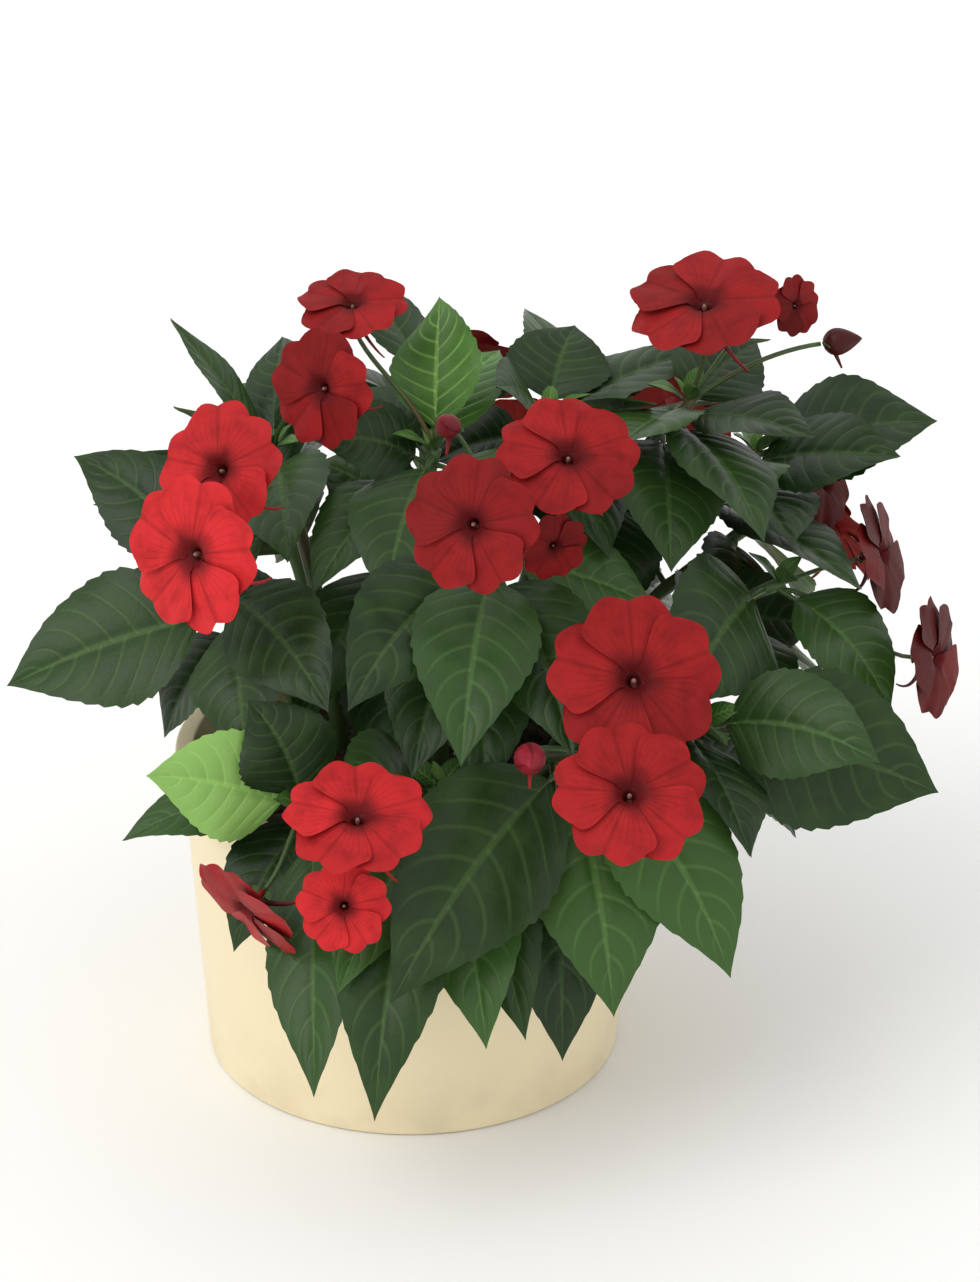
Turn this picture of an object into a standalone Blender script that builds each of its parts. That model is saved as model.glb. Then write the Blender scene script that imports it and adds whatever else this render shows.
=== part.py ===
"""Busy lizzie in a plain pot: a bushy mound of leafy shoots with flat, five-petalled red blooms.

The tables give lengths in millimetres and angles in degrees; MM turns them into metres.
+Z is up, the front of the plant is -Y, and the origin is the middle of the pot's underside.
Azimuth 0 points to the front (-Y) and 90 to the right (+X).
"""

import math
import random
from collections import namedtuple

import bmesh
import bpy
from mathutils import Matrix, Vector
from mathutils.bvhtree import BVHTree

MM = 0.001
UP = Vector((0, 0, 1))
GOLDEN_ANGLE = 137.5
TO_LIGHT = 0.5

# The pot
RIM_RADIUS = 70
BASE_RADIUS = 64
POT_HEIGHT = 100
WALL = 4
FLOOR = 5
RIM_BAND = 13
RIM_PROUD = 1.5
POT_EDGE = 1.5
POT_SIDES = 28
DRAIN_RADIUS = 5
DRAIN_RING = 36
DRAINS = 4

# The potting soil
SOIL_TOP = 87
SOIL_GAP = 0.3
SOIL_CROWN = 3
SOIL_LUMP = 1.4
SOIL_RINGS = 2

# The shoots
STEM_BURIED = 12
STEM_KNEE = 3
STEM_BASE_RADIUS = 3.0
STEM_TIP_RADIUS = 1.7
STEM_LEAN = 0.22
STEM_RISE = 0.62
HOLE_GAP = 0.4

# A leaf: a short stalk, then a pointed blade folded along its midrib
STALK_SHARE = 0.15
STALK_RADIUS = 1.0
BLADE_THICK = 0.8
BLADE_RISE = 0.78
BLADE_FALL = 1.22
BLADE_FOLD = 0.26
BLADE_CURL = 0.20
BLADE_WAVE = 0.07
LEAF_ARCH = 0.24
LEAF_SLIMNESS = 2.0
MOUND_HEART = Vector((20, 25, 95))
LEAF_TURN = 0.75

# A bloom: five broad notched petals in a flat pinwheel, a funnel behind and a thin spur
PETALS = 5
PETAL_THICK = 0.8
PETAL_HALF = 0.49
PETAL_CLAW = 0.10
PETAL_NOTCH = 0.93
PETAL_SAUCER = 0.10
PETAL_ROLL = 0.10
FUNNEL_DEPTH = 7
SPUR_RADIUS = 0.8
PEDICEL_RADIUS = 0.9
PEDICEL_GAP = 0.35

# Bending clear
CLEARANCE = 0.8
OPEN_REACH = 60
OPEN_SHARE = 0.75
LIFTS = (0, 5, -5, 10, -10, 16, -16, 24, -24)
TURNS = (0, 6, -6, 12, -12, 20, -20, 30, -30)
ROLLS = (0, 15, -15, 30, -30)
LENGTHS = (1, 0.88, 0.76)
MOST_TRIES = 300
KEY_TRIES = 160

Leaf = namedtuple("Leaf", "at tip width roll young arch", defaults=(0, 0, LEAF_ARCH))
Shoot = namedtuple("Shoot", "name root tip leaves fillers phase")
Bloom = namedtuple("Bloom", "name shoot centre azimuth elevation turn radius")
Bud = namedtuple("Bud", "name shoot centre azimuth elevation length")

SHOOTS = (
    Shoot("front_left", (-16, -28), (-30, -70, 112), (
        Leaf(0.86, (-25, -126, 52), 30, 0, 0, 0.12),
        Leaf(0.97, (-73, -76, 127), 32, -20, 1, 0.12),
        Leaf(0.78, (-80, -74, 102), 24, 20),
        Leaf(0.99, (-52, -58, 138), 30),
        Leaf(0.72, (-51, -86, 78), 26),
    ), 1, 330),
    Shoot("front", (2, -34), (10, -68, 118), (
        Leaf(0.90, (-8, -132, 48), 34, 0, 0, 0.30),
        Leaf(0.80, (23, -120, 64), 34),
        Leaf(0.98, (-18, -124, 84), 30, 0, 0, 0.1),
        Leaf(0.70, (34, -112, 62), 30),
    ), 1, 0),
    Shoot("front_right", (22, -28), (50, -60, 126), (
        Leaf(0.97, (92, -98, 74), 38),
        Leaf(0.99, (-3, -134, 87), 46, 0, 0, 0.15),
        Leaf(0.88, (60, -112, 72), 42),
        Leaf(0.80, (46, -114, 60), 36),
    ), 1, 20),
    Shoot("left", (-28, -8), (-56, -26, 162), (
        Leaf(0.86, (-118, -26, 131), 42, -24, 0, 0.08),
        Leaf(0.97, (-99, 8, 190), 30),
        Leaf(0.90, (-46, -62, 124), 32),
        Leaf(0.99, (-20, -62, 134), 32),
        Leaf(0.76, (-72, -30, 116), 30),
    ), 1, 200),
    Shoot("upper_left", (-22, 16), (-42, 28, 184), (
        Leaf(0.97, (-72, 42, 221), 18, 50, 0, 0.05),
        Leaf(0.92, (-70, 18, 202), 24, 0, 0, 0.1),
        Leaf(0.99, (-40, 62, 210), 24),
        Leaf(0.95, (-34, -34, 174), 32),
    ), 2, 200),
    Shoot("top_left", (-6, 4), (8, 4, 194), (
        Leaf(0.99, (9, 30, 232), 34, 0, 0.6),
        Leaf(0.96, (27, 44, 210), 26, 0, 0.45),
        Leaf(0.97, (-6, -54, 170), 34),
        Leaf(0.90, (-28, -44, 178), 30),
        Leaf(0.94, (28, -30, 182), 28),
        Leaf(0.62, (-32, -50, 126), 32),
        Leaf(0.93, (-24, -14, 196), 28, -30),
        Leaf(0.95, (-18, 30, 208), 28, 0, 0, 0.15),
        Leaf(0.70, (-27, 19, 184), 28, -25, 0, 0.15),
    ), 2, 300),
    Shoot("top", (12, 18), (42, 28, 196), (
        Leaf(0.98, (44, 56, 214), 32),
        Leaf(0.96, (24, 4, 208), 26),
        Leaf(0.95, (70, -4, 210), 30, 0, 0, 0.1),
        Leaf(0.90, (58, -36, 176), 36),
        Leaf(0.97, (92, 46, 206), 30, 0, 0, 0.1),
        Leaf(0.80, (68, -12, 166), 34),
        Leaf(0.92, (7, 26, 181), 28, -25, 0, 0.15),
    ), 1, 20),
    Shoot("top_right", (24, 6), (84, 16, 205), (
        Leaf(0.98, (60, -24, 206), 32, 0, 0, 0.08),
        Leaf(0.95, (118, -12, 204), 32, 15, 0, 0.12),
        Leaf(0.90, (76, -36, 172), 36),
        Leaf(0.93, (104, -36, 196), 36),
        Leaf(0.72, (58, -28, 150), 32),
        Leaf(0.96, (108, 44, 212), 30, 0, 0, 0.1),
    ), 1, 30),
    Shoot("upper_right", (32, 24), (106, 36, 180), (
        Leaf(0.98, (159, 42, 190), 42, 30, 0, 0.12),
        Leaf(0.94, (150, 18, 190), 34, 25, 0, 0.10),
        Leaf(0.90, (128, -4, 180), 38, 20, 0, 0.15),
        Leaf(0.96, (88, -12, 172), 36),
        Leaf(0.82, (138, -12, 158), 34, 15, 0, 0.12),
    ), 2, 80),
    Shoot("lower_right", (36, -12), (86, -36, 122), (
        Leaf(0.97, (156, -38, 102), 48, 28, 0, 0.10),
        Leaf(0.86, (117, -12, 73), 28),
        Leaf(0.92, (98, -82, 104), 34),
        Leaf(0.99, (136, -58, 122), 34, 10),
    ), 1, 60),
    Shoot("right", (42, 6), (112, 4, 151), (
        Leaf(0.97, (147, -10, 119), 36, 22),
        Leaf(0.95, (91, -50, 133), 46, 0, 0, 0.25),
        Leaf(0.80, (112, -30, 127), 32),
        Leaf(0.76, (76, -40, 142), 34),
        Leaf(0.70, (124, 19, 129), 30, 25, 0, 0.15),
    ), 1, 95),
    Shoot("centre", (8, -12), (26, -38, 178), (
        Leaf(0.99, (72, -44, 167), 30, 0, 0, 0.1),
        Leaf(0.97, (16, -104, 144), 36),
        Leaf(0.93, (48, -94, 146), 34),
        Leaf(0.95, (-14, -88, 148), 34),
        Leaf(0.74, (28, -78, 121), 32),
        Leaf(0.80, (2, -80, 128), 32),
    ), 1, 340),
    Shoot("back_left", (-24, 36), (-52, 62, 168), (), 7, 220),
    Shoot("back", (0, 42), (6, 72, 188), (), 7, 178),
    Shoot("back_right", (26, 42), (62, 68, 182), (), 7, 142),
    Shoot("rear_right", (44, 28), (108, 66, 144), (
        Leaf(0.97, (122, 28, 128), 34),
        Leaf(0.93, (102, 26, 124), 34),
    ), 4, 125),
)

BLOOMS = (
    Bloom("left_low", "left", (-59, -60, 188), -36, 14, 0, 22),
    Bloom("left_high", "left", (-53, -32, 202), -35, 30, 20, 20),
    Bloom("top_left_side", "upper_left", (-24, -20, 222), -35, 12, 0, 17),
    Bloom("top_left", "top_left", (-16, 10, 237), -10, 72, 0, 16),
    Bloom("centre_left", "centre", (19, -76, 204), -20, 20, 0, 19),
    Bloom("centre_top", "top", (46, -46, 212), 8, 56, 0, 20),
    Bloom("centre_low", "centre", (42, -52, 187), 20, 0, 0, 10),
    Bloom("top_right", "top_right", (86, 8, 238), -20, 68, 0, 22),
    Bloom("top_right_small", "top_right", (114, 22, 232), 38, 14, 0, 9),
    Bloom("right_hidden", "upper_right", (126, 34, 170), 60, 20, 0, 13),
    Bloom("right_high", "right", (142, 16, 155), 72, 20, 0, 18),
    Bloom("far_right", "right", (157, -6, 131), 64, 12, 0, 18),
    Bloom("main", "front_right", (64, -82, 160), 6, 38, 0, 24),
    Bloom("main_low", "front_right", (62, -112, 140), 4, 50, 10, 21),
    Bloom("front_left_high", "front_left", (-12, -114, 134), 4, 68, 0, 20),
    Bloom("front_left_low", "front_left", (-16, -121, 110), -10, 20, 0, 13),
    Bloom("front_left_side", "front_left", (-44, -99, 97), -46, -28, 0, 18),
    Bloom("back_left", "back_left", (-66, 92, 150), 200, 30, 0, 21),
    Bloom("back_top", "back", (14, 112, 178), 180, 35, 0, 22),
    Bloom("back_low", "back", (34, 128, 146), 172, 20, 0, 20),
    Bloom("back_right", "back_right", (84, 106, 170), 150, 30, 0, 21),
    Bloom("rear_right", "rear_right", (136, 90, 132), 120, 25, 0, 20),
)

BUDS = (
    Bud("centre", "centre", (12, -50, 223), -30, 40, 10),
    Bud("front", "front_right", (35, -92, 140), 0, 10, 13),
    Bud("top_right", "top_right", (128, 22, 221), 90, 8, 12),
    Bud("back", "back_left", (-28, 112, 158), 175, -10, 11),
)


def facing(azimuth, elevation):
    """The direction at this azimuth and elevation, in degrees; azimuth 0 is the front."""
    a = math.radians(azimuth)
    e = math.radians(elevation)
    return Vector((math.sin(a) * math.cos(e), -math.cos(a) * math.cos(e), math.sin(e)))


def curve_point(ends, t):
    """The point at share t of a curve with three or four control points."""
    points = list(ends)
    while len(points) > 1:
        points = [a.lerp(b, t) for a, b in zip(points, points[1:])]
    return points[0]


def curve_slope(ends, t):
    """The direction of that curve at share t."""
    return curve_point([b - a for a, b in zip(ends, ends[1:])], t).normalized()


def stem_curve(shoot):
    """The control points of a shoot above its knee, where it leaves the soil upright."""
    x, y = shoot.root
    knee = Vector((x, y, SOIL_TOP + STEM_KNEE))
    tip = Vector(shoot.tip)
    rise = tip - knee
    return knee, knee + Vector((rise.x * STEM_LEAN, rise.y * STEM_LEAN, rise.z * STEM_RISE)), tip


def stem_path(shoot, steps):
    """Points up a shoot from its end in the soil."""
    curve = stem_curve(shoot)
    foot = curve[0] - UP * (STEM_KNEE + STEM_BURIED)
    return [foot] + [curve_point(curve, i / steps) for i in range(steps + 1)]


def stem_radii(steps):
    return [STEM_BASE_RADIUS] + [
        STEM_BASE_RADIUS + (STEM_TIP_RADIUS - STEM_BASE_RADIUS) * i / steps
        for i in range(steps + 1)
    ]


def tube(points, radii, sides, side=Vector((1, 0, 0))):
    """The vertices and faces of a closed tube along the points."""
    verts = []
    for i, (point, radius) in enumerate(zip(points, radii)):
        ahead = (points[min(i + 1, len(points) - 1)] - points[max(i - 1, 0)]).normalized()
        if abs(ahead.dot(side)) > 0.95:
            side = Vector((0, 1, 0))
        side = (side - ahead * ahead.dot(side)).normalized()
        other = ahead.cross(side)
        for k in range(sides):
            a = math.tau * k / sides
            verts.append(point + (side * math.cos(a) + other * math.sin(a)) * radius)
    faces = []
    for i in range(len(points) - 1):
        for k in range(sides):
            a = i * sides + k
            b = i * sides + (k + 1) % sides
            faces.append((a, b, b + sides, a + sides))
    last = (len(points) - 1) * sides
    faces.append(tuple(reversed(range(sides))))
    faces.append(tuple(range(last, last + sides)))
    return verts, faces


class Blade:
    """One leaf from its base inside the stem to its tip: a surface over share u and side v."""

    def __init__(self, base, tip, width, roll=0, young=0, arch=LEAF_ARCH, phase=0):
        self.young = young
        self.phase = phase
        self.half = width / 2
        chord = tip - base
        self.length = chord.length
        flat = Vector((chord.x, chord.y, 0))
        if flat.length < 1:
            flat = Vector((0, -1, 0))
        self.left = UP.cross(flat.normalized())
        crown = chord.normalized().cross(self.left)
        self.curve = base, base + chord / 2 + crown * (arch * self.length), tip
        out = (base.lerp(tip, 0.6) - MOUND_HEART).normalized()
        turn = math.atan2(-out.dot(self.left), out.dot(crown))
        self.roll = LEAF_TURN * min(max(turn, -1), 1) + math.radians(roll)

    def frame(self, u):
        """The midrib point, the way to the left edge and the way up out of the face."""
        ahead = curve_slope(self.curve, u)
        up = ahead.cross(self.left)
        left = self.left * math.cos(self.roll) + up * math.sin(self.roll)
        return curve_point(self.curve, u), left, ahead.cross(left)

    def half_width(self, s):
        """Half the blade's width at share s of the blade."""
        peak = BLADE_RISE / (BLADE_RISE + BLADE_FALL)
        top = peak**BLADE_RISE * (1 - peak) ** BLADE_FALL
        s = min(max(s, 0), 1)
        return self.half * s**BLADE_RISE * (1 - s) ** BLADE_FALL / top

    def point(self, s, v, sink=0, spare=0):
        """A point of the upper face at share s of the blade and v across, sunk below it."""
        centre, left, up = self.frame(STALK_SHARE + (1 - STALK_SHARE) * s)
        w = max(self.half_width(s), STALK_RADIUS) if s < 0.3 else self.half_width(s)
        w += spare
        wave = BLADE_WAVE * math.sin(9.5 * s + self.phase + (1.3 if v > 0 else 0))
        lift = BLADE_FOLD * abs(v) - BLADE_CURL * v * v + wave * v * v
        return centre + left * (v * w) + up * (lift * w - sink)

    def stalk(self, v, sink=0):
        """A point of the stalk's end inside the stem."""
        centre, left, up = self.frame(0)
        return centre + left * (v * STALK_RADIUS) + up * (STALK_RADIUS - sink)

    def hull(self, spare, rows=8):
        """A coarse blade, thicker by the spare distance, to test what it would cross.

        With a ninth row it takes in the stalk as well.
        """
        verts = []
        for i in range(rows):
            for v in (-1, 0, 1):
                for sink in (-spare, BLADE_THICK + spare):
                    if i < 8:
                        verts.append(self.point(1 - i / 7, v, sink, spare))
                    else:
                        verts.append(self.stalk(v * (1 + spare), sink + 0.5))
        faces = []
        for i in range(rows - 1):
            a = i * 6
            b = a + 6
            faces += [(a, a + 2, b + 2), (a, b + 2, b), (a + 2, a + 4, b + 4), (a + 2, b + 4, b + 2)]
            faces += [(a + 1, b + 3, a + 3), (a + 1, b + 1, b + 3)]
            faces += [(a + 3, b + 5, a + 5), (a + 3, b + 3, b + 5)]
            faces += [(a, b, b + 1), (a, b + 1, a + 1), (a + 4, a + 5, b + 5), (a + 4, b + 5, b + 4)]
        return verts, faces


class Petal:
    """One petal of a bloom: an outline of (along, across) shares of the bloom's radius."""

    def __init__(self, bloom, number):
        self.radius = bloom.radius
        self.axis = facing(bloom.azimuth, bloom.elevation)
        across = UP.cross(self.axis)
        if across.length < 0.01:
            across = Vector((1, 0, 0))
        across.normalize()
        over = self.axis.cross(across)
        angle = math.radians(bloom.turn + 90 + 360 * number / PETALS)
        self.along = across * math.cos(angle) + over * math.sin(angle)
        self.across = self.axis.cross(self.along)
        self.centre = Vector(bloom.centre)
        self.lean = 0.02 * math.sin(2.4 * number + bloom.turn)

    def point(self, r, a, sink=0):
        """The point r out and a across, in shares of the radius, sunk behind the face."""
        spread = math.hypot(r, a)
        height = PETAL_SAUCER * (0.55 * spread - spread * spread + 0.32)
        height += PETAL_ROLL * a + self.lean * r
        height -= 0.20 * max(0, 0.22 - spread) / 0.22
        place = self.along * r + self.across * a + self.axis * height
        return self.centre + place * self.radius - self.axis * sink


PETAL_EDGE = ((PETAL_CLAW, 0.045), (0.36, 0.25), (0.66, PETAL_HALF), (0.96, 0.27))


def bloom_back(bloom):
    """Where a bloom's funnel ends and its stalk begins."""
    return Vector(bloom.centre) - facing(bloom.azimuth, bloom.elevation) * FUNNEL_DEPTH


def spur_path(bloom, steps=3):
    """Points down the spur: back from the funnel, then down and aside."""
    aim = facing(bloom.azimuth, bloom.elevation)
    down = (facing(0, -60) - aim * aim.dot(facing(0, -60))).normalized()
    side = aim.cross(down)
    start = bloom_back(bloom) + aim * 3
    size = bloom.radius / 22
    ends = (
        start,
        start + (down * 8 + side * 4 - aim * 3) * size,
        start + (down * 12 + side * 9 - aim * 9) * size,
        start + (down * 9 + side * 12 - aim * 15) * size,
    )
    return [curve_point(ends, i / steps) for i in range(steps + 1)]


def bud_mesh(bud, sides=7):
    """A plump pointed bud."""
    aim = facing(bud.azimuth, bud.elevation)
    shares = ((-0.5, 0.10), (-0.3, 0.30), (0, 0.38), (0.3, 0.27), (0.5, 0.06))
    points = [Vector(bud.centre) + aim * (bud.length * along) for along, _ in shares]
    return tube(points, [bud.length * wide for _, wide in shares], sides)


def pedicel_path(shoot, end, aim, steps):
    """Points from the shoot's tip to a bloom or a bud, arriving along its aim."""
    curve = stem_curve(shoot)
    start = curve_point(curve, 0.93)
    reach = (end - start).length
    ends = start, start + curve_slope(curve, 0.93) * reach * 0.35, end - aim * reach * 0.3, end
    return [curve_point(ends, i / steps) for i in range(steps + 1)]


def bloom_stalk(bloom, steps=3):
    aim = facing(bloom.azimuth, bloom.elevation)
    end = bloom_back(bloom) - aim * PEDICEL_GAP
    return pedicel_path(SHOOT_BY_NAME[bloom.shoot], end, aim, steps)


def bud_stalk(bud, steps=3):
    aim = facing(bud.azimuth, bud.elevation)
    end = Vector(bud.centre) - aim * (bud.length / 2 + PEDICEL_GAP)
    return pedicel_path(SHOOT_BY_NAME[bud.shoot], end, aim, steps)


SHOOT_BY_NAME = {shoot.name: shoot for shoot in SHOOTS}


class Crowd:
    """The pieces placed so far, to test whether a new one would cross them."""

    def __init__(self):
        self.pieces = []
        self.open = []

    def add(self, owner, shape):
        self.pieces.append((owner, *self.measured(shape)))

    @staticmethod
    def measured(shape):
        verts, faces = shape
        low = [min(p[i] for p in verts) for i in range(3)]
        high = [max(p[i] for p in verts) for i in range(3)]
        return low, high, BVHTree.FromPolygons(verts, faces)

    def crosses(self, shape, owner, with_own):
        """Whether the shape crosses a piece of this owner's, or else one of any other's."""
        low, high, tree = self.measured(shape)
        for name, other_low, other_high, other in self.pieces:
            if (name == owner) != with_own:
                continue
            if any(low[i] > other_high[i] or high[i] < other_low[i] for i in range(3)):
                continue
            if tree.overlap(other):
                return True
        return False

    def hides(self, shape):
        """Whether a leaf would stand in the open space in front of a bloom."""
        for centre, aim, radius in self.open:
            for p in shape[0]:
                away = p - centre
                along = away.dot(aim)
                if 2 < along < OPEN_REACH and (away - aim * along).length < radius:
                    return True
        return False


def bends():
    """The bends tried on a leaf, the slightest first."""
    tries = []
    for lift in LIFTS:
        for turn in TURNS:
            for roll in ROLLS:
                for length in LENGTHS:
                    cost = abs(lift) + 0.8 * abs(turn) + 0.4 * abs(roll) + 110 * (1 - length)
                    tries.append((cost, lift, turn, roll, length))
    return [one[1:] for one in sorted(tries)]


def bent(base, tip, bend):
    """The tip after a bend about the base."""
    lift, turn, _, length = bend
    chord = (tip - base) * length
    flat = Vector((chord.x, chord.y, 0))
    axis = flat.cross(UP).normalized() if flat.length > 1 else Vector((1, 0, 0))
    chord = Matrix.Rotation(math.radians(lift), 3, axis) @ chord
    return base + Matrix.Rotation(math.radians(turn), 3, "Z") @ chord


def placed(crowd, owner, base, leaf, tries, open_space):
    """The leaf at its place, or at the first bend that clears the rest; None if none does."""
    tip = Vector(leaf.tip)
    for bend in tries:
        end = bent(base, tip, bend)
        width = leaf.width * (0.5 + 0.5 * bend[3])
        roll = leaf.roll + bend[2]
        blade = Blade(base, end, width, roll, leaf.young, leaf.arch, sum(leaf.tip))
        shape = blade.hull(CLEARANCE)
        if open_space and crowd.hides(shape):
            continue
        if crowd.crosses(shape, owner, True):
            continue
        if not crowd.crosses(blade.hull(CLEARANCE, 9), owner, False):
            crowd.add(owner, blade.hull(0, 9))
            return blade
    return None


def filler_leaves(shoot):
    """More leaves down a shoot by the golden angle, drawn round toward the side it faces."""
    draw = random.Random(shoot.name)
    found = []
    highest = 0.80 if shoot.leaves else 0.97
    for k in range(shoot.fillers):
        share = k / max(shoot.fillers - 1, 1)
        at = highest - (highest - 0.42) * share
        length = 56 + 16 * share + draw.uniform(-4, 4)
        lift = 26 - 42 * share + draw.uniform(-8, 8)
        round_stem = (GOLDEN_ANGLE * k + 180) % 360 - 180
        aim = facing(shoot.phase + TO_LIGHT * round_stem + draw.uniform(-12, 12), lift)
        base = curve_point(stem_curve(shoot), at)
        found.append(Leaf(at, tuple(base + aim * length), length / LEAF_SLIMNESS))
    return found


def growth():
    """Every leaf of the plant, by shoot, bent clear of all that stands before it."""
    crowd = Crowd()
    for shoot in SHOOTS:
        crowd.add(shoot.name, tube(stem_path(shoot, 6), stem_radii(6), 6))
    for bloom in BLOOMS:
        crowd.add(bloom.shoot, tube(bloom_stalk(bloom), [PEDICEL_RADIUS] * 4, 4))
        for number in range(PETALS):
            crowd.add("petal", petal_mesh(Petal(bloom, number)))
        aim = facing(bloom.azimuth, bloom.elevation)
        crowd.add("spur", tube(spur_path(bloom), [SPUR_RADIUS + 0.4] * 4, 4))
        back = bloom_back(bloom)
        crowd.add("funnel", tube([back, back + aim * FUNNEL_DEPTH], [1, 0.12 * bloom.radius], 5))
        view = (aim + facing(0, 25)).normalized()
        crowd.open.append((Vector(bloom.centre), view, bloom.radius * OPEN_SHARE))
    for bud in BUDS:
        crowd.add(bud.shoot, tube(bud_stalk(bud), [PEDICEL_RADIUS] * 4, 4))
        crowd.add("bud", bud_mesh(bud))
    top = SOIL_TOP + SOIL_CROWN
    rim = RIM_RADIUS + RIM_PROUD
    crowd.add("soil", tube([Vector((0, 0, 60)), Vector((0, 0, top))], [64, 62], 24))
    crowd.add("pot", tube([Vector((0, 0, 0)), Vector((0, 0, POT_HEIGHT))], [BASE_RADIUS, rim], 24))
    tries = bends()
    grown = {shoot.name: [] for shoot in SHOOTS}
    for filling in (False, True):
        for shoot in SHOOTS:
            leaves = filler_leaves(shoot) if filling else shoot.leaves
            most = MOST_TRIES if filling else KEY_TRIES
            for leaf in leaves:
                base = curve_point(stem_curve(shoot), leaf.at)
                blade = placed(crowd, shoot.name, base, leaf, tries[:most], filling)
                if blade:
                    grown[shoot.name].append(blade)
    return grown


def petal_mesh(petal):
    """One petal split into triangles alike on both faces, open where it meets the throat.

    Its first four points are the claw: the left corner, the one below it, then the right.
    """
    spine = ((0.5, 0), (PETAL_NOTCH, 0))
    verts = []
    for side in (1, -1):
        r, a = PETAL_EDGE[0]
        verts += [petal.point(r, a * side), petal.point(r, a * side, PETAL_THICK)]
    for r, a in spine:
        verts += [petal.point(r, a), petal.point(r, a, PETAL_THICK)]
    for side in (1, -1):
        for r, a in PETAL_EDGE[1:]:
            verts += [petal.point(r, a * side), petal.point(r, a * side, PETAL_THICK)]
    left = (0, 8, 10, 12)
    right = (2, 14, 16, 18)
    top = [(0, 2, 4)]
    for edge in (left, right):
        half = [(edge[0], 4, edge[1]), (edge[1], 4, edge[2]), (4, 6, edge[2]), (edge[2], 6, edge[3])]
        top += half if edge is left else [face[::-1] for face in half]
    faces = []
    for face in top:
        faces += [face, tuple(i + 1 for i in reversed(face))]
    rim = right + (6,) + left[::-1]
    for a, b in zip(rim, rim[1:]):
        faces += [(a, b + 1, b), (a, a + 1, b + 1)]
    return verts, faces


# How finely the leaves, stems and spurs are cut
MIDRIB_STEPS = 4
EDGE_STEPS = 6
TOOTH = 0.03
STEM_STEPS = 4
STEM_SIDES = 5
PEDICEL_SIDES = 3
SPUR_SIDES = 3
SPUR_STEPS = 3
HOLE_SIDES = 6
SHARP_ANGLE = math.radians(40)

POT_COLOUR = (0.88, 0.80, 0.62)
SOIL_COLOUR = (0.055, 0.036, 0.022)
LEAF_COLOUR = (0.040, 0.105, 0.030)
BLOOM_COLOUR = (0.70, 0.018, 0.030)
BUD_COLOUR = (0.42, 0.03, 0.05)


def leaf_mesh(blade):
    """The closed mesh of a leaf: two faces of like triangles, a toothed rim and its stalk."""
    verts = []

    def pair(upper, lower):
        verts.extend((upper, lower))
        return len(verts) - 2

    def edge_point(s, side, sink):
        """A point of the rim; every other one stands out as a tooth."""
        step = round(s * EDGE_STEPS)
        reach = 1 + (TOOTH if step % 2 else -TOOTH) * (0 < step)
        return blade.point(s, side * reach, sink)

    root = pair(blade.stalk(0), blade.stalk(0, 2 * STALK_RADIUS))
    verts.extend((blade.stalk(1, STALK_RADIUS), blade.stalk(-1, STALK_RADIUS)))
    middle = []
    for i in range(MIDRIB_STEPS + 1):
        s = i / MIDRIB_STEPS
        keel = BLADE_THICK + (1 - s) * (2 * STALK_RADIUS - BLADE_THICK) * 0.8
        middle.append((s, pair(blade.point(s, 0), blade.point(s, 0, keel))))
    faces = []
    for side, corner in ((1, root + 2), (-1, root + 3)):
        edge = []
        for j in range(EDGE_STEPS):
            s = j / EDGE_STEPS
            thick = BLADE_THICK if j else 2 * STALK_RADIUS * 0.8
            edge.append((s, pair(edge_point(s, side, 0), edge_point(s, side, thick))))
        edge.append(middle[-1])
        half = []
        stalk = [(root, middle[0][1], corner), (corner, middle[0][1], edge[0][1])]
        stalk += [(root + 1, corner, middle[0][1] + 1), (corner, edge[0][1] + 1, middle[0][1] + 1)]
        stalk += [(corner, edge[0][1], edge[0][1] + 1), (root, corner, root + 1)]
        faces += stalk if side > 0 else [face[::-1] for face in stalk]
        i = j = 0
        while i < MIDRIB_STEPS or j < EDGE_STEPS:
            if j == EDGE_STEPS or i < MIDRIB_STEPS and middle[i + 1][0] <= edge[j + 1][0]:
                half.append((middle[i][1], middle[i + 1][1], edge[j][1]))
                i += 1
            else:
                half.append((middle[i][1], edge[j + 1][1], edge[j][1]))
                j += 1
        for face in half:
            if len(set(face)) < 3:
                continue
            top = face if side > 0 else face[::-1]
            faces += [top, tuple(k + 1 for k in reversed(top))]
        rim = [index for _, index in edge]
        for a, b in zip(rim, rim[1:]):
            band = (a + 1, b + 1, b, a)
            faces.append(band if side < 0 else band[::-1])
    return verts, faces


def mesh_object(name, shape, colour=None, roughness=0.5):
    """An object of this shape, given in millimetres, with a material of its own."""
    verts, faces = shape
    mesh = bpy.data.meshes.new(name)
    mesh.from_pydata([p * MM for p in verts], [], faces)
    tidy = bmesh.new()
    tidy.from_mesh(mesh)
    bmesh.ops.recalc_face_normals(tidy, faces=tidy.faces)
    bmesh.ops.triangulate(tidy, faces=[f for f in tidy.faces if len(f.verts) > 3])
    tidy.to_mesh(mesh)
    tidy.free()
    obj = bpy.data.objects.new(name, mesh)
    bpy.context.scene.collection.objects.link(obj)
    if colour:
        material = bpy.data.materials.new(name)
        material.use_nodes = True
        shader = material.node_tree.nodes["Principled BSDF"]
        shader.inputs["Base Color"].default_value = (*colour, 1)
        shader.inputs["Roughness"].default_value = roughness
        shader.inputs["Metallic"].default_value = 0
        mesh.materials.append(material)
    return obj


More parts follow.
